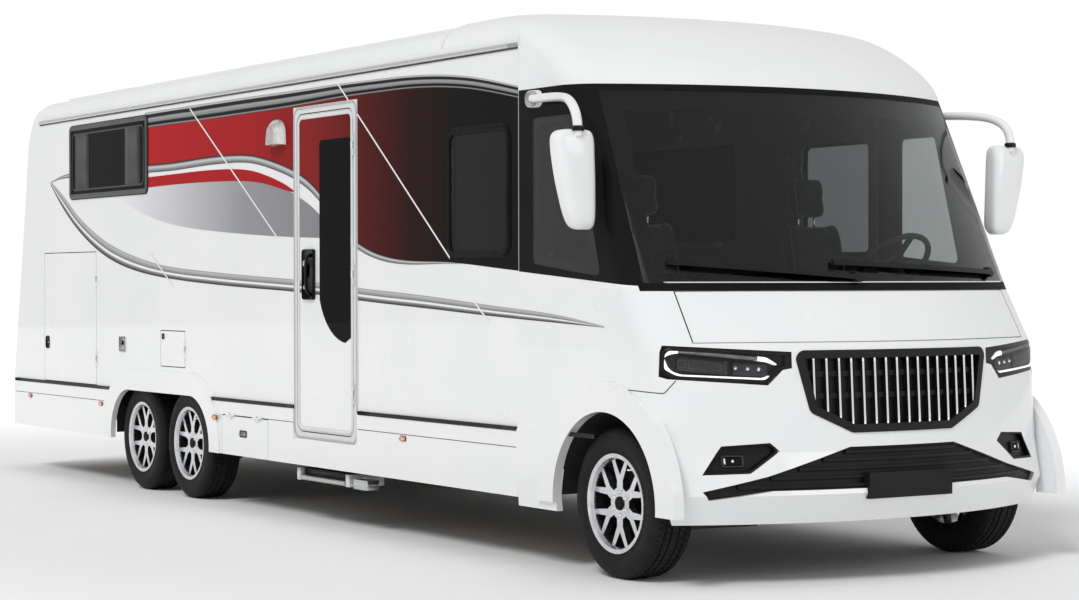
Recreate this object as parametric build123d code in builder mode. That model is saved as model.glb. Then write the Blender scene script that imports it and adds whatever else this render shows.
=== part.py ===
from build123d import *
import os
from math import atan2, cos, degrees, hypot, radians, sin, sqrt

# A class-A motorhome on a ladder chassis with a steered front axle and a tandem rear axle.
# Millimetres. +X is forward, +Y is the vehicle's left, +Z is up. The origin is on the road, at the
# middle of the overall length and width. A station is a distance behind the foremost point.

os.makedirs("parts", exist_ok=True)

# ---------------------------------------------------------------- overall
overall_length = 9280
wall_half = 1225            # half the width over the side walls
wall_t = 36                 # sandwich walls, roof and doors
skirt_t = 24
shell_t = 36                # moulded front shells
glass_t = 8
gap = 6                     # running gap round every door and lid
seat = 0.3                  # seam between curved faces of one body
front_x = overall_length / 2
# Cuts and outlines that run past the vehicle end here.
clear_y = 1400
clear_z = 3000
ahead = -50                 # station ahead of every front face
past_rear = 9400


def at(station):
    """X of a place given as a distance behind the foremost point."""
    return front_x - station


# ---------------------------------------------------------------- axles and wheels
front_overhang = 830
wheelbase = 5140
tandem_gap = 805
front_axle_x = at(front_overhang)
mid_axle_x = front_axle_x - wheelbase
rear_axle_x = mid_axle_x - tandem_gap
tyre_r = 370
tyre_w = 235
rim_r = 245                 # rim flange
bead_r = 230
barrel_r = 216              # inside the rim barrel
axle_z = tyre_r
wheel_out = 1180            # outer side of the tyres to the middle
wheel_in = wheel_out - tyre_w
kingpin_y = 960
stub_r = 30

# ---------------------------------------------------------------- body levels and stations
skirt_z = 345               # lower edge of the skirts
waist_z = 695               # skirt to wall
sill_z = 1420               # nose shell to windscreen
brow_z = 2440               # windscreen to front cap
wall_top_z = 2720
roof_z = 2830
rail_top_z = 600
floor_z = 720               # top of the double floor, which stands on the rails
rail_low_z = 400
rail_y = 460                # outer face of the frame rails
skirt_half = wall_half + 12
cab_split = 1640            # station where the moulded front meets the side walls
cap_back = 2450             # station where the front cap meets the roof panel
crown_start = 8360          # station where the roof panel meets the rear moulding

# The rear wall leans forward: height and station of its outer face.
rear_face = [(waist_z, 9262), (1400, 9118), (roof_z, 8868)]
rear_crown_r = 450
cove_in = 120               # the roof edge turns in by this much
ridge_z = 2848              # gutter ridge along the roof edge


# ================================================================ helpers
def keep(piece, name):
    """Name a finished piece and write its file."""
    piece.part.label = name
    export_step(piece.part, f"parts/{name}.step")
    print(name, len(piece.part.solids()), round(piece.part.volume / 1e6, 2))


def block(x_low, x_high, y_low, y_high, z_low, z_high):
    """A box given by its faces."""
    with BuildPart() as box:
        with Locations(((x_low + x_high) / 2, (y_low + y_high) / 2, (z_low + z_high) / 2)):
            Box(x_high - x_low, y_high - y_low, z_high - z_low)
    return box.part


def side_prism(y_low, y_high, *points, corner=0):
    """A prism across the vehicle through an outline of (station, height) points."""
    with BuildPart() as prism:
        with BuildSketch(Plane.XZ.offset(-y_high)) as face:
            with BuildLine():
                Polyline(*[(at(s), z) for s, z in points], close=True)
            make_face()
            if corner:
                fillet(face.vertices(), corner)
        extrude(amount=y_high - y_low)
    return prism.part


def side_box(s_low, s_high, z_low, z_high, y_low, y_high, corner=0):
    """A side_prism through a rectangle."""
    points = [(s_low, z_low), (s_high, z_low), (s_high, z_high), (s_low, z_high)]
    return side_prism(y_low, y_high, *points, corner=corner)


def front_prism(points, s_near, s_far, corner=0, inset=0):
    """A prism along the vehicle through an outline of (y, z) points, drawn in by inset."""
    with BuildPart() as prism:
        with BuildSketch(Plane.YZ.offset(at(s_far))) as face:
            with BuildLine():
                Polyline(*points, close=True)
            make_face()
            if corner:
                fillet(face.vertices(), corner)
            if inset:
                offset(amount=-inset, kind=Kind.INTERSECTION, mode=Mode.REPLACE)
        extrude(amount=s_far - s_near)
    return prism.part


def other_side(part):
    """The same piece on the vehicle's other side."""
    return mirror(part, about=Plane.XZ, mode=Mode.PRIVATE)


def symmetric(points):
    """A closed outline from the (y, z) points of its right half, listed from the bottom up."""
    return list(points) + [(-y, z) for y, z in reversed(points)]


# ================================================================ moulded front
# Plan sections from the bumper up to the roof. Columns: height, station of the foremost point, inset of
# the sides inside the skirts, corner radius.
nose_sections = [
    (300, 75, 10, 200),
    (440, 0, 0, 240),
    (640, 40, 0, 250),
    (1120, 66, 6, 250),
    (sill_z, 256, 14, 230),
]
cab_sections = [
    (sill_z, 256, 14, 230),
    (brow_z, 780, 14, 230),
]
cap_sections = [
    (brow_z, 780, 14, 230),
    (2540, 850, 14, 240),
    (2650, 1000, 16, 260),
    (2745, 1170, 36, 280),
    (2820, 1360, 92, 290),
    (2870, 1640, 190, 290),
    (2900, 1980, 330, 280),
]
bow_per_half = 0.235e-3     # bow of a plan section per its half width squared


def plan_face(height, station, inset, corner, back, grow):
    """One plan section: straight sides, a bowed front and rounded corners."""
    half = skirt_half - inset + grow
    tip = at(station) + grow
    side = tip - bow_per_half * half * half
    with BuildSketch(Plane.XY.offset(height)) as face:
        with BuildLine():
            Line((at(back), -half), (side, -half))
            ThreePointArc((side, -half), (tip, 0), (side, half))
            Line((side, half), (at(back), half))
            Line((at(back), half), (at(back), -half))
        make_face()
        fillet(face.vertices().group_by(Axis.X)[-1], corner + grow)
    return face.sketch


def beyond(end, next_in, distance):
    """An end row moved past the end, in line with the next row in."""
    step = distance / abs(end[0] - next_in[0])
    return tuple(a + step * (a - b) for a, b in zip(end, next_in))


def front_solid(sections, grow=0, back=cab_split, ends=0, ruled=True):
    """A solid through plan sections, its skin moved out by grow and its ends moved out by ends."""
    rows = [beyond(*sections[:2], ends), *sections[1:-1], beyond(*sections[:-3:-1], ends)]
    with BuildPart() as solid:
        for height, station, inset, corner in rows:
            add(plan_face(height, station, inset, corner, back, grow))
        loft(ruled=ruled)
    return solid.part


def front_layer(sections, outer, inner, back=cab_split, ends=20, ruled=True):
    """The layer of a moulded front between two offsets of its skin."""
    with BuildPart() as layer:
        add(front_solid(sections, outer, back, 0, ruled))
        add(front_solid(sections, inner, back + 50, ends, ruled), mode=Mode.SUBTRACT)
    return layer.part


# ================================================================ nose shell, cab frame and front cap
arch_r = 450
floor_front = 420           # station of the floor's front edge
lamp_outline = [(-1300, 1128), (-1245, 1110), (-1193, 1152), (-618, 1118), (-618, 1040), (-664, 1032),
                (-735, 960), (-1170, 992), (-1300, 1050)]
lamp_back = 430             # station where a headlamp ends on the side
nose_cut = 400              # openings in the nose are cut back to this station
side_cut = 600              # the same for openings that run toward the sides
grille_outline = symmetric([(-313, 727), (-535, 828), (-610, 1125)])
grille_corner = 45
intake_outline = symmetric([(-740, 462), (-1030, 420), (-1060, 462), (-760, 530), (-330, 660)])
fog_outline = [(-960, 675), (-1054, 540), (-838, 545), (-690, 647), (-736, 688)]
plate_half = 262            # blank plate carrier
plate_low = 410
plate_high = 536
bonnet_half = 1050
bonnet_low = 1165
bonnet_top = 1404
bonnet_rest_y = 620         # pads under the bonnet's lower edge
bonnet_rest_half = 40
bonnet_rest_t = 14
# Each layer of a pad: offset of its outer face from the nose's skin, then its low and high end from the
# bonnet's edge.
bonnet_rests = [(4 - shell_t, -34, -25), (-shell_t - seat, -30, 10)]


def skin_station(z):
    """Station of the nose's foremost point at a height."""
    for (z_low, s_low, *_), (z_high, s_high, *_) in zip(nose_sections, nose_sections[1:]):
        if z <= z_high:
            return s_low + (s_high - s_low) * (z - z_low) / (z_high - z_low)
    return nose_sections[-1][1]


def bow_at(y):
    """How far the bowed front lies behind its middle at y."""
    depth = bow_per_half * skirt_half ** 2
    radius = (skirt_half ** 2 + depth ** 2) / (2 * depth)
    return radius - sqrt(radius ** 2 - y ** 2)


def bonnet_prism(grow):
    """A prism square to the bonnet's slope, its bowed outline moved out by grow."""
    (z_low, s_low), (z_high, s_high) = [row[:2] for row in nose_sections[-2:]]
    slope = atan2(s_high - s_low, z_high - z_low)
    middle_z = (bonnet_low + bonnet_top) / 2
    middle_s = s_low + (s_high - s_low) * (middle_z - z_low) / (z_high - z_low)
    reach = (bonnet_top - bonnet_low) / 2 / cos(slope) + grow
    half = bonnet_half + grow
    sag = bow_at(half) * sin(slope)
    square = Plane(origin=(at(middle_s), 0, middle_z), x_dir=(0, 1, 0), z_dir=(cos(slope), 0, sin(slope)))
    with BuildPart() as prism:
        with BuildSketch(square.offset(-500)):
            with BuildLine():
                for v in (-reach, reach):
                    ThreePointArc((-half, v + sag), (0, v), (half, v + sag))
                for y in (-half, half):
                    Line((y, sag - reach), (y, sag + reach))
            make_face()
        extrude(amount=700)
    return prism.part


with BuildPart() as nose_shell:
    add(front_layer(nose_sections, 0, -shell_t))
    for outline, s_far in ((lamp_outline, lamp_back), (fog_outline, side_cut)):
        cut = front_prism(outline, ahead, s_far)
        add(cut, mode=Mode.SUBTRACT)
        add(other_side(cut), mode=Mode.SUBTRACT)
    add(front_prism(grille_outline, ahead, nose_cut, grille_corner), mode=Mode.SUBTRACT)
    add(front_prism(intake_outline, ahead, side_cut), mode=Mode.SUBTRACT)
    add(bonnet_prism(gap), mode=Mode.SUBTRACT)
    add(block(at(nose_cut), at(ahead), -plate_half, plate_half, plate_low, plate_high), mode=Mode.SUBTRACT)
    with BuildSketch(Plane.XZ):
        with Locations((front_axle_x, axle_z)):
            Circle(arch_r)
    extrude(amount=skirt_half + 50, both=True, mode=Mode.SUBTRACT)
    for outer, z_low, z_high in bonnet_rests:
        with BuildPart(mode=Mode.PRIVATE) as rests:
            add(front_layer(nose_sections, outer, -shell_t - bonnet_rest_t))
            with BuildPart(mode=Mode.PRIVATE) as places:
                for y in (-bonnet_rest_y, bonnet_rest_y):
                    add(block(at(nose_cut), at(0), y - bonnet_rest_half, y + bonnet_rest_half,
                              bonnet_low + z_low, bonnet_low + z_high))
            add(places.part, mode=Mode.INTERSECT)
        add(rests.part)
keep(nose_shell, "nose_shell")

lamp_depth = (2, 90)        # behind the skin
with BuildPart() as headlamps:
    add(front_layer(nose_sections, -lamp_depth[0], -lamp_depth[1]))
    add(front_prism(lamp_outline, ahead, lamp_back), mode=Mode.INTERSECT)
    add(other_side(headlamps.part))
keep(headlamps, "headlamps")


def bowed_slat(z_low, z_high, half, front, back):
    """A level slat that follows the bowed front, between two depths behind its skin."""
    station = skin_station((z_low + z_high) / 2)
    with BuildPart() as slat:
        with BuildSketch(Plane.XY.offset(z_low)):
            with BuildLine():
                for depth in (front, back):
                    ThreePointArc((at(station + depth + bow_at(half)), -half), (at(station + depth), 0),
                                  (at(station + depth + bow_at(half)), half))
                for y in (-half, half):
                    Line((at(station + front + bow_at(half)), y), (at(station + back + bow_at(half)), y))
            make_face()
        extrude(amount=z_high - z_low)
    return slat.part


bar_count = 16
bar_w = 14
bar_span = 1010             # between the outermost bars' middles
bar_depth = (6, 38)         # behind the skin
bar_end = 14                # the bars end this far inside the frame's outer edge
rib_depth = (20, 38)
rib_w = 26
frame_rim = 40              # breadth of the frame round the bars
frame_proud = 6
backing_depth = (34, 46)
# Height of each rib and half its length.
grille_ribs = [(905, 510), (1010, 535)]


def grille_low(y):
    """Height of the grille's lower edge at y."""
    (y_in, z_in), (y_mid, z_mid), (y_out, z_out) = [(-y, z) for y, z in grille_outline[:3]]
    y = abs(y)
    if y <= y_in:
        return z_in
    if y <= y_mid:
        return z_in + (z_mid - z_in) * (y - y_in) / (y_mid - y_in)
    return z_mid + (z_out - z_mid) * (y - y_mid) / (y_out - y_mid)


with BuildPart() as grille:
    add(front_layer(nose_sections, frame_proud, -backing_depth[1]))
    add(front_prism(grille_outline, ahead, nose_cut, grille_corner), mode=Mode.INTERSECT)
    with BuildPart(mode=Mode.PRIVATE) as well:
        add(front_layer(nose_sections, 100, -backing_depth[0]))
        add(front_prism(grille_outline, ahead, nose_cut, grille_corner, frame_rim), mode=Mode.INTERSECT)
    add(well.part, mode=Mode.SUBTRACT)
    for index in range(bar_count):
        y = bar_span * (index / (bar_count - 1) - 0.5)
        z_low = max(grille_low(y - bar_w / 2), grille_low(y + bar_w / 2)) + bar_end
        z_high = grille_outline[2][1] - bar_end
        ends = [(skin_station(z) + bow_at(y), z) for z in (z_low, z_high)]
        outline = [(s + bar_depth[0], z) for s, z in ends]
        outline += [(s + bar_depth[1], z) for s, z in reversed(ends)]
        add(side_prism(y - bar_w / 2, y + bar_w / 2, *outline))
    for z, half in grille_ribs:
        add(bowed_slat(z - rib_w / 2, z + rib_w / 2, half, *rib_depth))
keep(grille, "grille")

# Middle height of each slat and half its length.
intake_slats = [(480, 900), (520, 740), (560, 600), (600, 470), (636, 350)]
slat_w = 14
slat_depth = (8, 30)
insert_depth = (26, 40)
plate_depth = 46            # the plate carrier reaches back to the insert
with BuildPart() as lower_intake:
    add(front_layer(nose_sections, -insert_depth[0], -insert_depth[1]))
    add(front_prism(intake_outline, ahead, side_cut), mode=Mode.INTERSECT)
    for z, half in intake_slats:
        add(bowed_slat(z - slat_w / 2, z + slat_w / 2, half, *slat_depth))
    add(block(at(plate_depth), at(1), -plate_half, plate_half, plate_low, plate_high))
keep(lower_intake, "lower_intake")

fog_depth = (30, 60)
with BuildPart() as fog_lamps:
    add(front_layer(nose_sections, -fog_depth[0], -fog_depth[1]))
    add(front_prism(fog_outline, ahead, side_cut), mode=Mode.INTERSECT)
    add(other_side(fog_lamps.part))
keep(fog_lamps, "fog_lamps")

# Windscreen and cab windows: the frame carries each pane in a pocket around its opening.
screen_pane = symmetric([(-1165, 1436), (-1120, 2408)])
screen_hole = symmetric([(-1095, 1490), (-1030, 2300)])
quarter_pane = [(1505, 1545), (880, 1480), (1120, 2290), (1505, 2290)]
quarter_hole = [(1470, 1590), (975, 1545), (1175, 2250), (1470, 2250)]
screen_cut = 1100           # the windscreen's pane and hole are cut back to this station


def quarter_prism(points):
    """A prism through both sides at the quarter windows."""
    return side_prism(-clear_y, clear_y, *points, corner=30)


with BuildPart() as cab_frame:
    add(front_layer(cab_sections, 0, -shell_t))
    with BuildPart(mode=Mode.PRIVATE) as pocket:
        add(front_layer(cab_sections, 20, -glass_t - seat))
        add(front_prism(screen_pane, ahead, screen_cut), mode=Mode.INTERSECT)
    add(pocket.part, mode=Mode.SUBTRACT)
    add(front_prism(screen_hole, ahead, screen_cut), mode=Mode.SUBTRACT)
    with BuildPart(mode=Mode.PRIVATE) as pocket:
        add(front_layer(cab_sections, 20, -glass_t - seat))
        add(quarter_prism(quarter_pane), mode=Mode.INTERSECT)
    add(pocket.part, mode=Mode.SUBTRACT)
    add(quarter_prism(quarter_hole), mode=Mode.SUBTRACT)
keep(cab_frame, "cab_frame")

with BuildPart() as cab_glass:
    add(front_layer(cab_sections, 0, -glass_t))
    with BuildPart(mode=Mode.PRIVATE) as panes:
        add(front_prism(screen_pane, ahead, screen_cut))
        add(quarter_prism(quarter_pane))
    add(panes.part, mode=Mode.INTERSECT)
keep(cab_glass, "cab_glass")

with BuildPart() as front_cap:
    add(front_solid(cap_sections, 0, cap_back, ruled=False))
    last = len(cap_sections) - 1
    cap_lining = [(z - shell_t * i / last, *row) for i, (z, *row) in enumerate(cap_sections)]
    add(front_solid(cap_lining, -shell_t, cap_back + 50, ruled=False), mode=Mode.SUBTRACT)
    add(block(at(cap_back + 60), at(cab_split), -clear_y, clear_y, brow_z - 50, wall_top_z),
        mode=Mode.SUBTRACT)
keep(front_cap, "front_cap")


# ================================================================ house
window_corner = 60
# Columns: name, low and high station, low and high height, side (-1 right, 1 left).
windows = [
    ("rear", 6550, 8010, 2085, 2600, (-1, 1)),
    ("cab", 1735, 2356, 1600, 2265, (-1, 1)),
    ("lounge", 3000, 4240, 1700, 2300, (1,)),
]
door_s = (3420, 4250)       # outer edges of the entrance door's frame
door_z = (505, 2515)
frame_w = 42
garage_s = (7510, 8580)
garage_z = (705, 1680)
flap_s = (5910, 6330)
flap_z = (878, 1128)
locker_s = (4605, 5300)
locker_z = 600


barrel_out = 10             # hinge axes stand off the faces they serve
hinge_leaf = 16             # breadth of a hinge's leaf


def upright_hinge(station, side, face, toward, height, spans, radius=6):
    """Hinge barrels on an upright axis, with leaves that reach the face; toward is +1 ahead, -1 behind."""
    x = at(station)
    y = side * (face + barrel_out)
    with BuildPart() as barrels:
        for low, high in spans:
            with Locations((x, y, height + (low + high) / 2)):
                Cylinder(radius, high - low)
            x_ends = sorted((x, x + toward * hinge_leaf))
            y_ends = sorted((y, side * face))
            add(block(*x_ends, *y_ends, height + low, height + high))
    return barrels.part


def level_hinge(station, side, face, toward, height, spans, radius=5):
    """The same on a level axis along the vehicle; toward is +1 above, -1 below."""
    y = side * (face + barrel_out)
    with BuildPart() as barrels:
        for low, high in spans:
            with Locations((at(station) + (low + high) / 2, y, height)):
                Cylinder(radius, high - low, rotation=(0, 90, 0))
            y_ends = sorted((y, side * face))
            z_ends = sorted((height, height + toward * hinge_leaf))
            add(block(at(station) + low, at(station) + high, *y_ends, *z_ends))
    return barrels.part


# Spans of the barrels on the fixed and on the moving side, about the hinge's middle.
fixed_spans = [(-60, -20 - seat), (20 + seat, 60)]
moving_spans = [(-20, 20)]
door_hinge = door_s[0] + frame_w + gap / 2
door_hinge_face = wall_half + 6
door_hinge_z = (800, 1500, 2250)
garage_hinge = garage_s[0] + gap / 2
garage_hinge_z = (900, 1480)
flap_hinge = flap_s[0] + gap / 2
locker_hinge_z = locker_z - gap / 2
locker_hinge_s = (4750, 5155)


def house_body(inset):
    """The house body's solid: coved roof edges and a leaning rear that rounds into the roof."""
    half = wall_half - inset
    top = roof_z - inset
    cove_half = half - cove_in
    cove_mid = (cove_half + cove_in * cos(radians(45)), wall_top_z + (top - wall_top_z) * sin(radians(45)))
    corners = [(at(s - inset), z) for z, s in rear_face[:2]] + [(at(rear_face[2][1] - inset), top)]
    with BuildPart() as body:
        with BuildSketch(Plane.XZ) as side:
            with BuildLine():
                Line((at(cab_split), waist_z), corners[0])
                ThreePointArc(*corners)
                Line(corners[2], (at(cab_split), top))
                Line((at(cab_split), top), (at(cab_split), waist_z))
            make_face()
            crown = min(side.vertices(), key=lambda v: hypot(v.X - corners[2][0], v.Y - top))
            fillet(crown, rear_crown_r - inset)
        extrude(amount=half, both=True)
        with BuildSketch(Plane.YZ.offset(at(overall_length))):
            with BuildLine():
                Line((-half, waist_z), (-half, wall_top_z))
                ThreePointArc((-half, wall_top_z), (-cove_mid[0], cove_mid[1]), (-cove_half, top))
                Line((-cove_half, top), (cove_half, top))
                ThreePointArc((cove_half, top), cove_mid, (half, wall_top_z))
                Line((half, wall_top_z), (half, waist_z))
                Line((half, waist_z), (-half, waist_z))
            make_face()
        extrude(amount=overall_length, mode=Mode.INTERSECT)
    return body.part


body_skin = house_body(0)
body_lining = house_body(wall_t)


def side_wall(side):
    """One side wall, with its windows and doors cut."""
    with BuildPart() as wall:
        add(body_skin)
        add(block(at(past_rear), at(0), wall_t - wall_half, wall_half - wall_t, 0, clear_z),
            mode=Mode.SUBTRACT)
        add(block(at(past_rear), at(0), *sorted((0, clear_y * side)), 0, wall_top_z), mode=Mode.INTERSECT)
        add(rear_inside, mode=Mode.INTERSECT)
        for _, s_low, s_high, z_low, z_high, sides in windows:
            if side in sides:
                add(side_box(s_low, s_high, z_low, z_high, -clear_y, clear_y, window_corner),
                    mode=Mode.SUBTRACT)
        add(side_box(*garage_s, *garage_z, -clear_y, clear_y), mode=Mode.SUBTRACT)
        for z in garage_hinge_z:
            add(upright_hinge(garage_hinge, side, wall_half, 1, z, fixed_spans))
        if side < 0:
            add(side_box(door_s[0], door_s[1], 0, door_z[1], -clear_y, clear_y), mode=Mode.SUBTRACT)
            add(side_box(*flap_s, *flap_z, -clear_y, clear_y), mode=Mode.SUBTRACT)
            add(upright_hinge(flap_hinge, -1, wall_half, 1, sum(flap_z) / 2, fixed_spans))
    return wall


# Everything ahead of the rear wall's inner face, over the full width.
with BuildPart() as rear_inside_solid:
    low, middle, high = [(at(s - wall_t), z) for z, s in rear_face]
    with BuildSketch(Plane.XZ) as face:
        with BuildLine():
            Line((at(cab_split), waist_z), low)
            ThreePointArc(low, middle, high)
            Line(high, (at(cab_split), high[1]))
            Line((at(cab_split), high[1]), (at(cab_split), waist_z))
        make_face()
        crown = min(face.vertices(), key=lambda v: hypot(v.X - high[0], v.Y - high[1]))
        fillet(crown, rear_crown_r)
    extrude(amount=clear_y, both=True)
rear_inside = rear_inside_solid.part

for side, name in ((-1, "side_wall_right"), (1, "side_wall_left")):
    keep(side_wall(side), name)

with BuildPart() as rear_wall:
    add(body_skin)
    add(body_lining, mode=Mode.SUBTRACT)
    add(block(at(8000), at(0), -clear_y, clear_y, 0, clear_z), mode=Mode.SUBTRACT)
    add(block(at(crown_start), at(0), -clear_y, clear_y, wall_top_z, clear_z), mode=Mode.SUBTRACT)
    with BuildPart(mode=Mode.PRIVATE) as inside:
        add(rear_inside)
        add(block(at(past_rear), at(0), -clear_y, clear_y, 0, wall_top_z), mode=Mode.INTERSECT)
    add(inside.part, mode=Mode.SUBTRACT)
keep(rear_wall, "rear_wall")

ridge_w = 44
# Station of the front edge, y and size of each rooflight.
skylights = [(2900, 400, 700), (5200, 0, 500), (7300, 0, 400)]
lid_lap = 25
lid_h = 45
lid_corner = 15
with BuildPart() as roof_panel:
    add(body_skin)
    add(body_lining, mode=Mode.SUBTRACT)
    add(block(at(crown_start), at(cap_back), -clear_y, clear_y, wall_top_z, clear_z), mode=Mode.INTERSECT)
    for side in (-1, 1):
        inner = wall_half - cove_in - ridge_w
        add(block(at(crown_start), at(cap_back), *sorted((side * inner, side * (inner + ridge_w))),
                  roof_z - 10, ridge_z))
    for s, y, size in skylights:
        add(block(at(s + size), at(s), y - size / 2, y + size / 2, wall_top_z, clear_z), mode=Mode.SUBTRACT)
keep(roof_panel, "roof_panel")

with BuildPart() as rooflights:
    for s, y, size in skylights:
        add(block(at(s + size - 1), at(s + 1), y - size / 2 + 1, y + size / 2 - 1, roof_z - wall_t, roof_z))
        half = size / 2 + lid_lap
        add(block(at(s + size + lid_lap), at(s - lid_lap), y - half, y + half, roof_z, roof_z + lid_h))
    fillet(rooflights.faces().sort_by(Axis.Z)[-3:].edges(), lid_corner)
keep(rooflights, "rooflights")

# Framed windows stand a little proud of the wall.
pane_t = 24
pane_out = 4
with BuildPart() as house_windows:
    for _, s_low, s_high, z_low, z_high, sides in windows:
        for side in sides:
            low, high = sorted((side * (wall_half + pane_out), side * (wall_half + pane_out - pane_t)))
            add(side_box(s_low, s_high, z_low, z_high, low, high, window_corner))
keep(house_windows, "house_windows")


# ================================================================ skirts, flares and rear bumper
tandem_opening = [(5476, 200), (5476, 700), (7180, 700), (7180, 200)]
tandem_corner = 330
flare_w = 150
flare_out = 1250
flare_t = 60
bumper_s = 9215
bumper_corner = 60


def tandem_prism(grow, y_low, y_high):
    """A prism through the tandem axle's opening, its outline moved out by grow."""
    (s_low, z_low), (_, z_high), (s_high, _), _ = tandem_opening
    with BuildPart() as prism:
        with BuildSketch(Plane.XZ.offset(-y_high)) as face:
            with BuildLine():
                Polyline((at(s_low - grow), z_low), (at(s_low - grow), z_high + grow),
                         (at(s_high + grow), z_high + grow), (at(s_high + grow), z_low), close=True)
            make_face()
            fillet(face.vertices().group_by(Axis.Y)[-1], tandem_corner + grow)
        extrude(amount=y_high - y_low)
    return prism.part


with BuildPart() as skirts:
    add(side_box(cab_split, bumper_s, skirt_z, waist_z, -skirt_half, -skirt_half + skirt_t))
    add(other_side(skirts.part))
    add(tandem_prism(0, -clear_y, clear_y), mode=Mode.SUBTRACT)
    add(side_box(*door_s, door_z[0], 800, -clear_y, 0), mode=Mode.SUBTRACT)
    add(side_box(*locker_s, 0, locker_z, -clear_y, 0), mode=Mode.SUBTRACT)
    for s in locker_hinge_s:
        add(level_hinge(s, -1, skirt_half, 1, locker_hinge_z, fixed_spans))
keep(skirts, "skirts")

with BuildPart() as skirt_flap:
    add(side_box(locker_s[0] + gap, locker_s[1] - gap, skirt_z, locker_z - gap, -skirt_half,
                 -skirt_half + skirt_t))
    for s in locker_hinge_s:
        add(level_hinge(s, -1, skirt_half, -1, locker_hinge_z, moving_spans))
keep(skirt_flap, "skirt_flap")

with BuildPart() as arch_flares:
    with BuildSketch(Plane.XZ.offset(flare_out)):
        with Locations((front_axle_x, axle_z)):
            Circle(arch_r + flare_w)
            Circle(arch_r, mode=Mode.SUBTRACT)
    extrude(amount=-flare_t)
    add(front_solid(nose_sections, seat), mode=Mode.SUBTRACT)
    add(block(at(past_rear), at(-400), -clear_y, clear_y, -400, skirt_z), mode=Mode.SUBTRACT)
    with BuildPart(mode=Mode.PRIVATE) as rear_flare:
        add(tandem_prism(flare_w, -flare_out, -wall_half))
        add(tandem_prism(0, -clear_y, 0), mode=Mode.SUBTRACT)
        add(block(at(past_rear), at(0), -skirt_half, 0, 0, waist_z), mode=Mode.SUBTRACT)
        add(block(at(past_rear), at(0), -clear_y, clear_y, 0, skirt_z), mode=Mode.SUBTRACT)
    add(rear_flare.part)
    add(other_side(arch_flares.part))
keep(arch_flares, "arch_flares")

lamp_r = 62
rear_lamp_t = 36
rear_lamp_in = 4            # behind the bumper's face
rear_lamp_places = [(side * y, 575) for side in (-1, 1) for y in (1110, 965, 820)]
with BuildPart() as rear_bumper:
    add(block(at(overall_length), at(bumper_s), -skirt_half, skirt_half, skirt_z, waist_z))
    fillet(rear_bumper.edges().filter_by(Axis.Z).group_by(Axis.X)[0], bumper_corner)
    with Locations(*[(at(overall_length), y, z) for y, z in rear_lamp_places]):
        Cylinder(lamp_r, 80, rotation=(0, 90, 0), mode=Mode.SUBTRACT)
keep(rear_bumper, "rear_bumper")

with BuildPart() as rear_lamps:
    middle_x = at(overall_length - rear_lamp_in - rear_lamp_t / 2)
    with Locations(*[(middle_x, y, z) for y, z in rear_lamp_places]):
        Cylinder(lamp_r - seat, rear_lamp_t, rotation=(0, 90, 0))
keep(rear_lamps, "rear_lamps")


# ================================================================ entrance, lids and bonnet
frame_corner = 70
with BuildPart() as entrance_frame:
    add(side_box(*door_s, *door_z, -wall_half - 6, -wall_half + wall_t))
    add(side_box(door_s[0] + frame_w, door_s[1] - frame_w, door_z[0] + frame_w, door_z[1] - frame_w,
                 -clear_y, 0, frame_corner), mode=Mode.SUBTRACT)
    for z in door_hinge_z:
        add(upright_hinge(door_hinge, -1, door_hinge_face, 1, z, fixed_spans))
keep(entrance_frame, "entrance_frame")

leaf_s = (door_s[0] + frame_w + gap, door_s[1] - frame_w - gap)
leaf_z = (door_z[0] + frame_w + gap, door_z[1] - frame_w - gap)
leaf_face = -wall_half - 3
door_window_s = (3505, 3905)
door_window_z = (1098, 1350, 2300)      # tip, start of the sweep, top
door_tip_s = 3575
door_corner = 66
handle_s = (3965, 4118)
handle_z = (1350, 1650)
handle_out = 14


def door_window(y_low, y_high):
    """A prism through the door window: square above, its rear edge swept forward to a tip below."""
    front, back = (at(s) for s in door_window_s)
    tip, bend, top = door_window_z
    middle = (back + (at(door_tip_s) - back) * 0.42, bend + (tip - bend) * 0.72)
    with BuildPart() as prism:
        with BuildSketch(Plane.XZ.offset(-y_high)) as face:
            with BuildLine():
                ThreePointArc((back, bend), middle, (at(door_tip_s), tip))
                Polyline((at(door_tip_s), tip), (front, tip + 30), (front, top), (back, top), (back, bend))
            make_face()
            fillet(face.vertices().group_by(Axis.Y)[-1], 30)
        extrude(amount=y_high - y_low)
    return prism.part


with BuildPart() as entrance_door:
    add(side_box(*leaf_s, *leaf_z, leaf_face, leaf_face + wall_t, door_corner))
    add(door_window(-clear_y, 0), mode=Mode.SUBTRACT)
    add(side_box(*handle_s, *handle_z, leaf_face - handle_out, leaf_face, 20))
    for z in door_hinge_z:
        add(upright_hinge(door_hinge, -1, door_hinge_face, -1, z, moving_spans))
        add(block(at(door_hinge + hinge_leaf), at(door_hinge + gap / 2), -door_hinge_face, leaf_face,
                  z + moving_spans[0][0], z + moving_spans[0][1]))
keep(entrance_door, "entrance_door")

with BuildPart() as entrance_window:
    add(door_window(leaf_face - 2, leaf_face + 18))
keep(entrance_window, "entrance_window")

step_t = 15
step_in = 860               # inner end of the entry step to the middle
step_z = 480
lid_edge_r = 12
with BuildPart() as entry_step:
    add(side_box(door_s[0] + 20, door_s[1] - 20, skirt_z + 20, floor_z, -skirt_half + skirt_t + 4, -step_in))
    add(side_box(door_s[0] + 20 + step_t, door_s[1] - 20 - step_t, step_z, floor_z + 10, -clear_y,
                 -step_in - step_t), mode=Mode.SUBTRACT)
    add(side_box(*door_s, door_z[0], 900, -clear_y, wall_t - wall_half), mode=Mode.SUBTRACT)
keep(entry_step, "entry_step")

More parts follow.
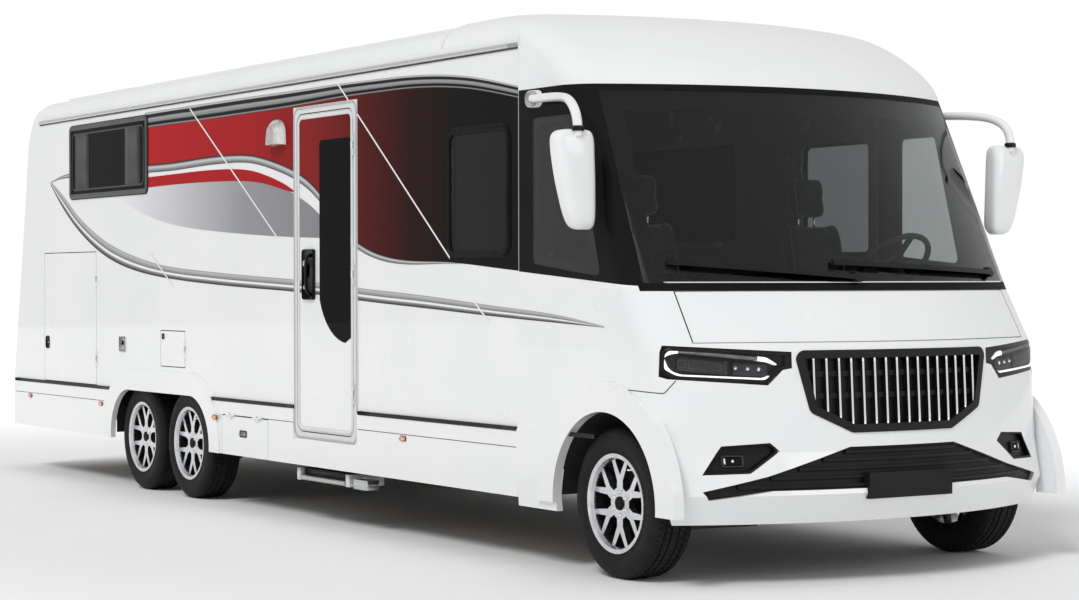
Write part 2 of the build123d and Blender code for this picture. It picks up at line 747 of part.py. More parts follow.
for side, name in ((-1, "garage_door_right"), (1, "garage_door_left")):
    with BuildPart() as lid:
        low, high = sorted((side * wall_half, side * (wall_half - wall_t)))
        add(side_box(garage_s[0] + gap, garage_s[1] - gap, garage_z[0] + gap, garage_z[1] - gap, low, high,
                     lid_edge_r))
        for z in garage_hinge_z:
            add(upright_hinge(garage_hinge, side, wall_half, -1, z, moving_spans))
    keep(lid, name)

with BuildPart() as service_flap:
    add(side_box(flap_s[0] + gap, flap_s[1] - gap, flap_z[0] + gap, flap_z[1] - gap, -wall_half,
                 -wall_half + wall_t, lid_edge_r))
    add(upright_hinge(flap_hinge, -1, wall_half, -1, sum(flap_z) / 2, moving_spans))
keep(service_flap, "service_flap")

with BuildPart() as bonnet:
    add(front_layer(nose_sections, 0, -shell_t))
    add(bonnet_prism(0), mode=Mode.INTERSECT)
keep(bonnet, "bonnet")


# ================================================================ chassis
rail_web = 6
rail_flange = 60
rail_rear = 9150
rail_front = 250
# Station and depth of each crossmember.
crossmembers = [(250, 100), (1000, 100), (1500, 120), (2700, 120), (3900, 120), (5100, 120), (6370, 120),
                (7600, 120), (8980, 160)]
tow_hole_r = 6.5
tow_dx = 120
tow_dz = 90
tow_s = 9020

with BuildPart() as frame_rails:
    with BuildSketch(Plane.YZ.offset(at(rail_rear))):
        for side in (-1, 1):
            with Locations((side * (rail_y - rail_flange / 2), (rail_low_z + rail_top_z) / 2)):
                Rectangle(rail_flange, rail_top_z - rail_low_z)
            with Locations((side * (rail_y - rail_web - rail_flange / 2), (rail_low_z + rail_top_z) / 2)):
                Rectangle(rail_flange, rail_top_z - rail_low_z - 2 * rail_web, mode=Mode.SUBTRACT)
    extrude(amount=rail_rear - rail_front)
    for s, width in crossmembers:
        add(block(at(s + width), at(s), -rail_y + rail_web, rail_y - rail_web, rail_low_z + rail_web,
                  rail_low_z + 2 * rail_web))
        for face in (s, s + width - rail_web):
            add(block(at(face + rail_web), at(face), -rail_y + rail_web, rail_y - rail_web,
                      rail_low_z + rail_web, rail_top_z - rail_web))
    with Locations(*[(at(tow_s) + dx, 0, (rail_low_z + rail_top_z) / 2 + dz)
                     for dx in (-tow_dx / 2, tow_dx / 2) for dz in (-tow_dz / 2, tow_dz / 2)]):
        Cylinder(tow_hole_r, 2 * clear_y, rotation=(90, 0, 0), mode=Mode.SUBTRACT)
keep(frame_rails, "frame_rails")

front_liner_r = 468
liner_t = 6
liner_in = 700
engine_s = (380, 960)
engine_half = 260
engine_z = (500, 1040)
engine_mount = (560, 760, 470, 510)     # two stations, two heights
engine_room = 20            # the floor keeps this far from the engine
floor_back = 9190
liner_edge = 380            # the liners' lower edges
tandem_liner = (5436, 7216, 862)        # two stations and the top
tandem_liner_in = 900

with BuildPart() as floor_panel:
    add(block(at(floor_back), at(floor_front), -wall_half + wall_t, wall_half - wall_t, rail_top_z, floor_z))
    for side in (-1, 1):
        y_low, y_high = sorted((side * liner_in, side * clear_y))
        with BuildSketch(Plane.XZ.offset(-y_high)):
            with Locations((front_axle_x, axle_z)):
                Circle(front_liner_r + seat)
        extrude(amount=y_high - y_low, mode=Mode.SUBTRACT)
        y_low, y_high = sorted((side * tandem_liner_in, side * clear_y))
        add(block(at(tandem_liner[1]), at(tandem_liner[0]), y_low, y_high, 0, clear_z), mode=Mode.SUBTRACT)
    add(block(at(engine_s[1] + engine_room), at(0), -engine_half - engine_room, engine_half + engine_room,
              0, clear_z), mode=Mode.SUBTRACT)
    add(block(at(door_s[1] - 20), at(door_s[0] + 20), -clear_y, -step_in, 0, clear_z), mode=Mode.SUBTRACT)
    add(front_layer(nose_sections, 80, -shell_t - seat), mode=Mode.SUBTRACT)
keep(floor_panel, "floor_panel")

with BuildPart() as engine_block:
    add(block(at(engine_s[1]), at(engine_s[0]), -engine_half, engine_half, *engine_z))
    chamfer(engine_block.faces().sort_by(Axis.Z)[-1].edges(), 60)
    add(block(at(engine_mount[1]), at(engine_mount[0]), -rail_y + rail_web, rail_y - rail_web,
              *engine_mount[2:]))
keep(engine_block, "engine_block")

with BuildPart() as arch_liners:
    liner_out = wall_half - wall_t - 6
    with BuildSketch(Plane.XZ.offset(liner_out)):
        with Locations((front_axle_x, axle_z)):
            Circle(front_liner_r)
            Circle(front_liner_r - liner_t, mode=Mode.SUBTRACT)
    extrude(amount=liner_in - liner_out)
    with BuildSketch(Plane.XZ.offset(liner_in)):
        with Locations((front_axle_x, axle_z)):
            Circle(front_liner_r)
    extrude(amount=liner_t)
    add(block(at(cab_split), at(0), -clear_y, 0, -200, liner_edge), mode=Mode.SUBTRACT)
    add(block(at(cab_split), at(0), -liner_in - liner_t, 0, 0, rail_top_z + 20), mode=Mode.SUBTRACT)
    s_low, s_high, z_high = tandem_liner
    with BuildPart(mode=Mode.PRIVATE) as rear_liner:
        add(side_box(s_low, s_high, liner_edge, z_high, wall_t - wall_half, -tandem_liner_in))
        add(side_box(s_low + liner_t, s_high - liner_t, 0, z_high - liner_t, -clear_y,
                     -tandem_liner_in - liner_t), mode=Mode.SUBTRACT)
        add(side_box(s_low, s_high, 0, 520, -tandem_liner_in - 10, 0), mode=Mode.SUBTRACT)
    add(rear_liner.part)
    add(front_layer(nose_sections, 80, -shell_t - seat), mode=Mode.SUBTRACT)
    add(other_side(arch_liners.part))
keep(arch_liners, "arch_liners")

arm_half = 45
arm_z = [(225, 265), (475, 505)]
arm_neck = 850              # the arms are narrow from here to the kingpin
arm_root = (80, 100)        # reach inside the rails, half length
with BuildPart() as front_axle:
    add(block(front_axle_x - 110, front_axle_x + 110, -rail_y, rail_y, 260, rail_low_z))
    for side in (-1, 1):
        for low, high in arm_z:
            with BuildSketch(Plane.XY.offset(low)):
                y_in = side * (rail_y - arm_root[0])
                ends = [(arm_root[1], y_in), (arm_half, side * arm_neck), (arm_half, side * kingpin_y)]
                ends += [(-x, y) for x, y in reversed(ends)]
                Polygon(*[(front_axle_x + x, y) for x, y in ends], align=None)
                with Locations((front_axle_x, side * kingpin_y)):
                    Circle(arm_half)
            extrude(amount=high - low)
        low, high = sorted((side * (rail_y + 1), side * (rail_y - arm_root[0])))
        add(block(front_axle_x - arm_root[1], front_axle_x + arm_root[1], low, high, arm_z[0][0], 300))
    add(block(front_axle_x - 130, front_axle_x + 130, -rail_y, rail_y, rail_low_z, 700), mode=Mode.SUBTRACT)
keep(front_axle, "front_axle")

disc_r = 160
disc_y = (1012, 1036)
stub_end = 1140
upright_r = arm_half - 3
caliper = (130, 188, 55)    # near and far distance ahead of the axle, half height
with BuildPart() as knuckle_right:
    with Locations((front_axle_x, -kingpin_y, (arm_z[0][1] + arm_z[1][0]) / 2)):
        Cylinder(upright_r, arm_z[1][0] - arm_z[0][1] - 2 * seat)
    add(block(front_axle_x, front_axle_x + caliper[1], -disc_y[0] + 6, -kingpin_y, axle_z - 40, axle_z + 40))
    add(block(front_axle_x + caliper[0], front_axle_x + caliper[1], -disc_y[1] - 14, -kingpin_y - 8,
              axle_z - caliper[2], axle_z + caliper[2]))
    with Locations((front_axle_x, -(disc_y[0] + disc_y[1]) / 2, axle_z)):
        Cylinder(disc_r + 8, disc_y[1] - disc_y[0] + 12, rotation=(90, 0, 0), mode=Mode.SUBTRACT)
    with Locations((front_axle_x, -(kingpin_y + stub_end) / 2, axle_z)):
        Cylinder(stub_r, stub_end - kingpin_y, rotation=(90, 0, 0))
keep(knuckle_right, "knuckle_right")

with BuildPart() as knuckle_left:
    add(other_side(knuckle_right.part))
keep(knuckle_left, "knuckle_left")

tube_r = 55
tube_ahead = 175
tube_z = 330
trail_y = (880, 928)
with BuildPart() as tandem_axles:
    for axle_x in (mid_axle_x, rear_axle_x):
        tube_x = axle_x + tube_ahead
        with Locations((tube_x, 0, tube_z)):
            Cylinder(tube_r, 2 * trail_y[1], rotation=(90, 0, 0))
        for side in (-1, 1):
            low, high = sorted((side * trail_y[0], side * trail_y[1]))
            with BuildSketch(Plane.XZ.offset(-high)):
                with BuildSketch(mode=Mode.PRIVATE) as ends:
                    with Locations((tube_x, tube_z)):
                        Circle(tube_r + 12)
                    with Locations((axle_x, axle_z)):
                        Circle(stub_r + 22)
                make_hull(ends.sketch.edges())
            extrude(amount=high - low)
            low, high = sorted((side * trail_y[1], side * stub_end))
            with Locations((axle_x, (low + high) / 2, axle_z)):
                Cylinder(stub_r, high - low, rotation=(90, 0, 0))
            low, high = sorted((side * rail_y, side * (rail_y - rail_flange)))
            add(block(tube_x - 90, tube_x + 90, low, high, tube_z, rail_low_z))
keep(tandem_axles, "tandem_axles")


# ================================================================ wheels
spoke_count = 6
spoke_y = (1110, 1146)      # inner and outer faces of the spokes
fork_r = 112                # where a spoke forks
spoke_end = 217
hub_r = 78
bulge_r = 302               # where a tyre is widest
shoulder_r = 350


def tyre_part(side):
    """A tyre round the origin of its axle: treaded crown, bulged sides, beads on the rim."""
    with BuildPart() as tyre:
        with BuildSketch(Plane.XY):
            with BuildLine():
                Polyline((bead_r + seat, wheel_in + 12 + seat), (bead_r + seat, wheel_out - 12 - seat),
                         (rim_r + seat, wheel_out - 12), (bulge_r, wheel_out), (shoulder_r, wheel_out - 12),
                         (tyre_r, wheel_out - 36), (tyre_r, wheel_in + 36), (shoulder_r, wheel_in + 12),
                         (bulge_r, wheel_in), (rim_r + seat, wheel_in + 12), close=True)
            make_face()
        revolve(axis=Axis.Y)
    return tyre.part if side > 0 else other_side(tyre.part)


def rim_part(side):
    """A cast wheel: barrel with flanges, forked spokes, hub and brake disc."""
    with BuildPart() as rim:
        with BuildSketch(Plane.XY):
            Polygon((barrel_r, wheel_in + 14), (rim_r, wheel_in + 2), (rim_r, wheel_in + 12),
                    (bead_r, wheel_in + 12), (bead_r, wheel_out - 12), (rim_r, wheel_out - 12),
                    (rim_r, wheel_out - 4), (barrel_r + 8, wheel_out - 8), (barrel_r, wheel_out - 26),
                    align=None)
        revolve(axis=Axis.Y)
        with BuildSketch(mode=Mode.PRIVATE) as spoke:
            with BuildLine():
                Polyline((hub_r - 20, -26), (fork_r, -24), (spoke_end, -74), (spoke_end, -48),
                         (fork_r + 26, 0), (spoke_end, 48), (spoke_end, 74), (fork_r, 24), (hub_r - 20, 26),
                         close=True)
            make_face()
        with BuildSketch(Plane.XZ.offset(-spoke_y[1])):
            Circle(hub_r)
            with PolarLocations(0, spoke_count, start_angle=90):
                add(spoke.sketch)
        extrude(amount=spoke_y[1] - spoke_y[0])
        with Locations((0, (disc_y[0] + spoke_y[1]) / 2, 0)):
            Cylinder(hub_r - 12, spoke_y[1] - disc_y[0], rotation=(90, 0, 0))
        with Locations((0, (disc_y[0] + disc_y[1]) / 2, 0)):
            Cylinder(disc_r, disc_y[1] - disc_y[0], rotation=(90, 0, 0))
        with Locations((0, (disc_y[0] + stub_end) / 2, 0)):
            Cylinder(stub_r + seat, stub_end - disc_y[0], rotation=(90, 0, 0), mode=Mode.SUBTRACT)
    return rim.part if side > 0 else other_side(rim.part)


axles = [("front", front_axle_x), ("mid", mid_axle_x), ("rear", rear_axle_x)]
for side, side_name in ((-1, "right"), (1, "left")):
    tyre_shape = tyre_part(side)
    rim_shape = rim_part(side)
    for axle_name, axle_x in axles:
        with BuildPart() as tyre:
            with Locations((axle_x, 0, axle_z)):
                add(tyre_shape)
        keep(tyre, f"tyre_{axle_name}_{side_name}")
        with BuildPart() as rim:
            with Locations((axle_x, 0, axle_z)):
                add(rim_shape)
        keep(rim, f"rim_{axle_name}_{side_name}")


# ================================================================ cab interior
wheel_place = (at(760), 540, 1545)
column_tilt = 45
column = Location(wheel_place, (0, -column_tilt, 0))
column_r = 22
dash_back = 110             # the dashboard keeps this far behind the nose's skin
column_length = 250
boss_r = 55
boss_length = 220
dash_half = 1190
dash_outline = [(300, 1400), (820, 1400), (850, 1340), (800, 1060), (560, 1060), (520, 1250), (300, 1330)]

with BuildPart() as dashboard:
    add(side_prism(-dash_half, dash_half, *dash_outline))
    add(front_solid(nose_sections, -shell_t - seat), mode=Mode.INTERSECT)
    with BuildPart(mode=Mode.PRIVATE) as clear_of_bonnet:
        add(front_layer(nose_sections, 60, -dash_back))
        add(block(at(700), at(0), -bonnet_half - 15, bonnet_half + 15, 1000, 1500), mode=Mode.INTERSECT)
    add(clear_of_bonnet.part, mode=Mode.SUBTRACT)
    with Locations(column):
        with Locations((0, 0, -column_length)):
            Cylinder(boss_r, boss_length)
        with Locations((0, 0, -column_length / 2 - 4)):
            Cylinder(column_r + seat, column_length + 8, mode=Mode.SUBTRACT)
keep(dashboard, "dashboard")

seat_y = 560
seat_base_s = (960, 1330)
seat_base_half = 120
seat_base_z = 1000
# Half width and side outline of a seat's cushion, back and headrest.
seat_pieces = [
    (250, (860, seat_base_z), (1400, seat_base_z), (1400, 1130), (860, 1150)),
    (235, (1300, 1130), (1430, 1130), (1540, 1790), (1450, 1790)),
    (130, (1462, 1790), (1540, 1790), (1565, 2030), (1485, 2030)),
]
with BuildPart() as seat_bases:
    for side in (-1, 1):
        y = side * seat_y
        add(block(at(seat_base_s[1]), at(seat_base_s[0]), y - seat_base_half, y + seat_base_half, floor_z,
                  seat_base_z))
keep(seat_bases, "seat_bases")

with BuildPart() as front_seats:
    for side in (-1, 1):
        y = side * seat_y
        with BuildPart(mode=Mode.PRIVATE) as one:
            for half, *points in seat_pieces:
                add(side_prism(y - half, y + half, *points))
        add(one.part)
keep(front_seats, "front_seats")

rim_radius = 200            # of the steering wheel
rim_half = 16
arm_breadth = 30
with BuildPart() as steering_rim:
    with BuildSketch(Plane.XZ):
        with Locations((rim_radius, 0)):
            RegularPolygon(rim_half, 10)
    revolve(axis=Axis.Z)

with BuildPart() as steering_wheel:
    with Locations(column):
        add(steering_rim.part)
        Cylinder(boss_r, arm_breadth)
        Box(arm_breadth, 2 * rim_radius - 10, rim_half)
        with Locations((rim_radius / 2, 0, 0)):
            Box(rim_radius - 10, arm_breadth, rim_half)
        with Locations((0, 0, -column_length / 2)):
            Cylinder(column_r, column_length)
keep(steering_wheel, "steering_wheel")


# ================================================================ mirrors and wipers
mirror_arm_r = 24
mirror_arm = [(at(1470), -1209, 2385), (at(1440), -1290, 2375), (at(800), -1405, 2318),
              (at(800), -1405, 2170)]
mirror_foot = (at(1530), at(1410), -1240, -1205, 2345, 2425)
# Plan sections of a mirror's housing, about the arm's end. Columns: height, depth, width, middle, corner.
mirror_station = 850
mirror_sections = [
    (1705, 70, 90, 1368, 30),
    (1745, 105, 140, 1372, 40),
    (2060, 130, 215, 1405, 50),
    (2150, 120, 225, 1410, 50),
    (2190, 80, 150, 1405, 35),
]
with BuildPart() as mirrors:
    for place in mirror_arm[1:-1]:
        with Locations(place):
            Sphere(mirror_arm_r)
    for start, end in zip(mirror_arm, mirror_arm[1:]):
        along = Vector(*end) - Vector(*start)
        with BuildSketch(Plane(origin=start, z_dir=along)):
            Circle(mirror_arm_r)
        extrude(amount=along.length)
    with BuildPart(mode=Mode.PRIVATE) as housing:
        for z, depth, width, middle, corner in mirror_sections:
            with BuildSketch(Plane.XY.offset(z)):
                with Locations((at(mirror_station), -middle)):
                    RectangleRounded(depth, width, corner)
        loft(ruled=True)
    add(housing.part)
    add(block(*mirror_foot))
    add(front_solid(cab_sections, seat, back=cab_split + 50, ends=10), mode=Mode.SUBTRACT)
    add(other_side(mirrors.part))
keep(mirrors, "mirrors")

# Pivot and tip of each wiper, as (y, z) on the windscreen.
wiper_lines = [((-117, 1475), (-1058, 1548)), ((955, 1500), (-236, 1548))]
wiper_w = 24
wiper_post_r = 26
wiper_out = (14, 34)        # an arm's near and far side, off the glass
wiper_s = 800               # the arms lie ahead of this station
with BuildPart() as wipers:
    for pivot, tip in wiper_lines:
        angle = degrees(atan2(tip[1] - pivot[1], tip[0] - pivot[0]))
        length = hypot(tip[0] - pivot[0], tip[1] - pivot[1])
        with BuildPart(mode=Mode.PRIVATE) as strip:
            with BuildSketch(Plane.YZ.offset(at(wiper_s))):
                with Locations(Location((pivot[0], pivot[1], 0), (0, 0, angle))):
                    with Locations((length / 2, 0)):
                        Rectangle(length, wiper_w)
            extrude(amount=wiper_s)
            add(front_layer(cab_sections, wiper_out[1], wiper_out[0]), mode=Mode.INTERSECT)
        add(strip.part)
        with BuildPart(mode=Mode.PRIVATE) as post:
            with BuildSketch(Plane.YZ.offset(at(wiper_s))):
                with Locations(pivot):
                    Circle(wiper_post_r)
            extrude(amount=wiper_s)
            add(front_layer(cab_sections, wiper_out[1], seat), mode=Mode.INTERSECT)
        add(post.part)
keep(wipers, "wipers")
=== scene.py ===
import math
import bpy
import numpy as np
from mathutils import Matrix, Vector


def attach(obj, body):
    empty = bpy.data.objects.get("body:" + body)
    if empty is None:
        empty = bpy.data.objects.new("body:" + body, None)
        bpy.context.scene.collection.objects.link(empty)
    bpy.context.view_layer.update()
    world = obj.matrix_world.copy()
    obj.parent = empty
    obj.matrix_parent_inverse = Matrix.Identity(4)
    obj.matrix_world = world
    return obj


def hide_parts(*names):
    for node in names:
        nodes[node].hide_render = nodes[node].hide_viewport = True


# Dresses the motorhome for a studio picture. Metres, X ahead, Y to its left, Z up, ground at zero.
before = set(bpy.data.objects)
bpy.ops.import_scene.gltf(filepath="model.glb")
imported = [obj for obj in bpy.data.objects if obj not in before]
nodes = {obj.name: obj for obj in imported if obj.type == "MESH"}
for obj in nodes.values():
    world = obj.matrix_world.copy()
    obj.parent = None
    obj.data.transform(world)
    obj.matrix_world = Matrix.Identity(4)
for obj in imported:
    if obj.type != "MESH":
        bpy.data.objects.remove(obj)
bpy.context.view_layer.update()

noseX = 4.64            # foremost point of the nose
wallY = 1.225           # outer faces of the side walls
film = 0.0008           # painted film stands this far off its panel
filmStep = 0.02         # length of the film's faces along the vehicle
sides = {"right": -1, "left": 1}


# Meshes.
# Open repair: only tube and mirrorHousing wind their end faces with their walls. In ribbon, turned, box and
# the panels, strips and plates the end faces are wound against them.
def gridQuads(rows, columns, closeRows=False, closeColumns=False):
    # corner numbers of a grid of points stored row by row, wrapped where it closes
    first = np.arange(rows if closeRows else rows - 1)[:, None]
    second = np.arange(columns if closeColumns else columns - 1)[None, :]
    nextRow = (first + 1) % rows
    nextColumn = (second + 1) % columns
    corners = [first * columns + second, nextRow * columns + second,
               nextRow * columns + nextColumn, first * columns + nextColumn]
    return np.stack([c.ravel() for c in corners], axis=1)


def enclosedVolume(points, faces):
    # sum of the tetrahedra between the origin and each face, fanned from its first corner
    total = 0.0
    for face in faces:
        corner = points[face[0]]
        for a, b in zip(face[1:-1], face[2:]):
            total += np.dot(corner, np.cross(points[a], points[b]))
    return total / 6


def addPiece(name, points, faces, material, body, slot, uv=None, smooth=True, outward=None):
    # a mesh whose faces turn outward: by its volume if closed, or along the given direction if a sheet
    points = np.asarray(points, float).reshape(-1, 3)
    faces = [list(map(int, face)) for face in faces]
    if outward is None:
        middle = points - points.mean(axis=0)
        flip = enclosedVolume(middle, faces) < 0
    else:
        a, b, c = (points[[face[i] for face in faces]] for i in range(3))
        flip = np.cross(b - a, c - a).sum(axis=0) @ np.array(outward) < 0
    if flip:
        faces = [face[::-1] for face in faces]
    mesh = bpy.data.meshes.new(name)
    mesh.from_pydata(points.tolist(), [], faces)
    if uv is not None:
        corners = np.empty(len(mesh.loops), int)
        mesh.loops.foreach_get("vertex_index", corners)
        mesh.uv_layers.new(name="UVMap").data.foreach_set("uv", np.asarray(uv, float)[corners].ravel())
    mesh.polygons.foreach_set("use_smooth", [smooth] * len(mesh.polygons))
    mesh.materials.append(material)
    mesh.update()
    piece = bpy.data.objects.new(name, mesh)
    bpy.context.scene.collection.objects.link(piece)
    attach(piece, body)
    return piece


def joined(parts):
    # several (points, faces) as one, with the corner numbers moved on
    points = []
    faces = []
    count = 0
    for partPoints, partFaces in parts:
        points.append(np.asarray(partPoints, float).reshape(-1, 3))
        faces += [[int(c) + count for c in face] for face in partFaces]
        count += len(points[-1])
    return np.concatenate(points), faces


def smoothLine(points, count):
    # natural cubic spline through the points, against the length of the chords between them
    points = np.asarray(points, float)
    chord = np.linalg.norm(np.diff(points, axis=0), axis=1)
    where = np.concatenate([[0.0], np.cumsum(chord)])
    number = len(points)
    matrix = np.eye(number)
    right = np.zeros_like(points)
    for i in range(1, number - 1):
        matrix[i, i - 1:i + 2] = chord[i - 1], 2 * (chord[i - 1] + chord[i]), chord[i]
        right[i] = 6 * ((points[i + 1] - points[i]) / chord[i] - (points[i] - points[i - 1]) / chord[i - 1])
    bend = np.linalg.solve(matrix, right)
    t = np.linspace(0, where[-1], count)
    k = np.clip(np.searchsorted(where, t, side="right") - 1, 0, number - 2)
    h = chord[k][:, None]
    before = (t - where[k])[:, None]
    after = h - before
    return ((bend[k] * after ** 3 + bend[k + 1] * before ** 3) / (6 * h)
            + (points[k] / h - bend[k] * h / 6) * after
            + (points[k + 1] / h - bend[k + 1] * h / 6) * before)


def heightAt(points):
    # height of a smooth line above any place along the vehicle
    line = smoothLine(points, 240)
    return lambda x: np.interp(x, line[:, 0], line[:, 1])


def roundOutline(width, height, corner, steps=8):
    # rectangle about the origin with quarter circles at its corners, and the outward direction at each point
    points = []
    normals = []
    for index, (sx, sz) in enumerate(((1, 1), (-1, 1), (-1, -1), (1, -1))):
        angle = np.linspace(index * math.pi / 2, (index + 1) * math.pi / 2, steps)
        normal = np.stack([np.cos(angle), np.sin(angle)], axis=1)
        centre = np.array([sx * (width / 2 - corner), sz * (height / 2 - corner)])
        points.append(centre + corner * normal)
        normals.append(normal)
    return np.concatenate(points), np.concatenate(normals)


def tube(path, radius, around, closed=False):
    # circle carried along a path; its plane is square to the run and its first direction follows a fixed up
    path = np.asarray(path, float)
    radius = np.broadcast_to(radius, (len(path),))
    along = np.gradient(path, axis=0)
    if closed:
        along = np.roll(path, -1, axis=0) - np.roll(path, 1, axis=0)
    along /= np.linalg.norm(along, axis=1, keepdims=True)
    up = np.array([0.13, 0.21, 0.97])
    first = np.cross(along, up)
    first /= np.linalg.norm(first, axis=1, keepdims=True)
    second = np.cross(along, first)
    turn = np.linspace(0, 2 * math.pi, around, endpoint=False)
    points = (path[:, None] + radius[:, None, None] * (first[:, None] * np.cos(turn)[None, :, None]
              + second[:, None] * np.sin(turn)[None, :, None]))
    faces = gridQuads(len(path), around, closed, True).tolist()
    if not closed:
        faces.append(list(range(around)))
        faces.append(list(range((len(path) - 1) * around, len(path) * around))[::-1])
    return points.reshape(-1, 3), faces


def turned(profile, centre, axis, steps):
    # (radius, along) pairs turned about an axis through the centre; a face closes each end, or shrinks
    # to nothing on the axis
    axis = np.asarray(axis, float)
    axis = axis / np.linalg.norm(axis)
    first = np.cross(axis, [0, 0, 1] if abs(axis[2]) < 0.9 else [1, 0, 0])
    first /= np.linalg.norm(first)
    second = np.cross(axis, first)
    angle = np.linspace(0, 2 * math.pi, steps, endpoint=False)
    spoke = np.cos(angle)[:, None] * first + np.sin(angle)[:, None] * second
    profile = np.asarray(profile, float)
    points = (np.asarray(centre) + spoke[:, None] * profile[None, :, :1] + axis * profile[None, :, 1:])
    count = len(profile)
    faces = gridQuads(steps, count, True).tolist()
    faces.append([i * count for i in range(steps)])
    faces.append([i * count + count - 1 for i in range(steps)][::-1])
    return points.reshape(-1, 3), faces


# Materials: their parts first, then the finishes of this object.
def newMaterial(name, **sockets):
    # principled shader with the uniform values set on its own sockets
    material = bpy.data.materials.new(name)
    material.use_nodes = True
    shader = material.node_tree.nodes["Principled BSDF"]
    for socket, value in sockets.items():
        shader.inputs[socket.replace("_", " ")].default_value = value
    return material, material.node_tree, shader


def node(tree, kind, **values):
    made = tree.nodes.new(kind)
    for key, value in values.items():
        setattr(made, key, value)
    return made


def objectPlace(tree, stretch=(1, 1, 1)):
    # place in the object's own coordinates, stretched along each axis
    mapping = node(tree, "ShaderNodeMapping")
    mapping.inputs["Scale"].default_value = stretch
    tree.links.new(node(tree, "ShaderNodeTexCoord").outputs["Object"], mapping.inputs["Vector"])
    return mapping.outputs["Vector"]


def noise(tree, scale, detail=4, stretch=(1, 1, 1)):
    made = node(tree, "ShaderNodeTexNoise")
    made.inputs["Scale"].default_value = scale
    made.inputs["Detail"].default_value = detail
    tree.links.new(objectPlace(tree, stretch), made.inputs["Vector"])
    return made.outputs["Fac"]


def ramp(tree, value, stops):
    # colours at places along a value from 0 to 1
    made = node(tree, "ShaderNodeValToRGB")
    elements = made.color_ramp.elements
    while len(elements) < len(stops):
        elements.new(0.5)
    for element, (place, colour) in zip(elements, stops):
        element.position = place
        element.color = (*colour, 1) if len(colour) == 3 else colour
    tree.links.new(value, made.inputs["Fac"])
    return made.outputs["Color"]


def spread(tree, value, low, high, fromLow=0.0, fromHigh=1.0):
    made = node(tree, "ShaderNodeMapRange")
    for socket, number in zip(("From Min", "From Max", "To Min", "To Max"), (fromLow, fromHigh, low, high)):
        made.inputs[socket].default_value = number
    tree.links.new(value, made.inputs["Value"])
    return made.outputs["Result"]


def math2(tree, operation, a, b):
    # one sum on two values, either of which may be a plain number
    made = node(tree, "ShaderNodeMath", operation=operation)
    for socket, value in zip(made.inputs, (a, b)):
        if isinstance(value, (int, float)):
            socket.default_value = value
        else:
            tree.links.new(value, socket)
    return made.outputs["Value"]


def mixed(tree, factor, a, b):
    # colour a where the factor is 0 and b where it is 1
    made = node(tree, "ShaderNodeMix", data_type="RGBA")
    tree.links.new(factor, made.inputs["Factor"])
    for socket, value in ((made.inputs[6], a), (made.inputs[7], b)):
        if isinstance(value, tuple):
            socket.default_value = (*value, 1)
        else:
            tree.links.new(value, socket)
    return made.outputs[2]


def axisValue(tree, axis):
    split = node(tree, "ShaderNodeSeparateXYZ")
    tree.links.new(objectPlace(tree), split.inputs["Vector"])
    return split.outputs[axis]


def bumpFrom(tree, shader, value, strength, distance):
    made = node(tree, "ShaderNodeBump")
    made.inputs["Strength"].default_value = strength
    made.inputs["Distance"].default_value = distance
    tree.links.new(value, made.inputs["Height"])
    tree.links.new(made.outputs["Normal"], shader.inputs["Normal"])


def coating(name, tones, scale, rough, grain=None, stretch=(1, 1, 1), **sockets):
    # noise picks between two near tones and two roughnesses, and a finer one raises a grain
    material, tree, shader = newMaterial(name, **sockets)
    cloud = noise(tree, scale, stretch=stretch)
    colour = ramp(tree, cloud, [(0.3, tones[0]), (0.7, tones[1])])
    tree.links.new(colour, shader.inputs["Base Color"])
    tree.links.new(spread(tree, noise(tree, scale * 3.7, 3, stretch), *rough), shader.inputs["Roughness"])
    if grain:
        grainScale, strength, distance = grain
        bumpFrom(tree, shader, noise(tree, grainScale, 2, stretch), strength, distance)
    return material, tree, shader


whiteTones = ((0.79, 0.80, 0.81), (0.83, 0.835, 0.84))
liningTones = ((0.16, 0.155, 0.145), (0.19, 0.18, 0.17))
gloss = {"Coat_Weight": 1.0, "Coat_Roughness": 0.03, "Coat_IOR": 1.5}
printed = {"Coat_Weight": 0.22, "Coat_Roughness": 0.04, "Coat_IOR": 1.4, "Specular_IOR_Level": 0.0}


def whitePaint(name):
    # gelcoat: a faint cloud of tone and a very fine orange peel under the lacquer
    return coating(name, whiteTones, 1.3, (0.22, 0.30), (260, 0.05, 0.0006), **gloss)


def wallPaint(name, inner):
    # the same outside, and cloth-covered lining where the surface lies inside the given half width
    material, tree, shader = whitePaint(name)
    outside = shader.inputs["Base Color"].links[0].from_socket
    across = math2(tree, "ABSOLUTE", axisValue(tree, "Y"), 0.0)
    inside = math2(tree, "LESS_THAN", across, inner)
    lining = ramp(tree, noise(tree, 60, 6), [(0.3, liningTones[0]), (0.7, liningTones[1])])
    tree.links.new(mixed(tree, inside, outside, lining), shader.inputs["Base Color"])
    return material


def cabPaint(name, line, sideFrom):
    # black gloss, and white below a sloping line on the sides; line is its height and fall per metre
    # from its start
    material, tree, shader = coating(name, ((0.006, 0.006, 0.007), (0.010, 0.010, 0.011)), 2.0, (0.14, 0.2),
                                     **printed)
    black = shader.inputs["Base Color"].links[0].from_socket
    start, height, fall = line
    ahead = math2(tree, "SUBTRACT", axisValue(tree, "X"), start)
    edge = math2(tree, "SUBTRACT", height, math2(tree, "MULTIPLY", ahead, fall))
    below = math2(tree, "LESS_THAN", axisValue(tree, "Z"), edge)
    onSide = math2(tree, "GREATER_THAN", math2(tree, "ABSOLUTE", axisValue(tree, "Y"), 0.0), sideFrom)
    white = math2(tree, "MULTIPLY", below, onSide)
    tree.links.new(mixed(tree, white, black, whiteTones[1]), shader.inputs["Base Color"])
    return material


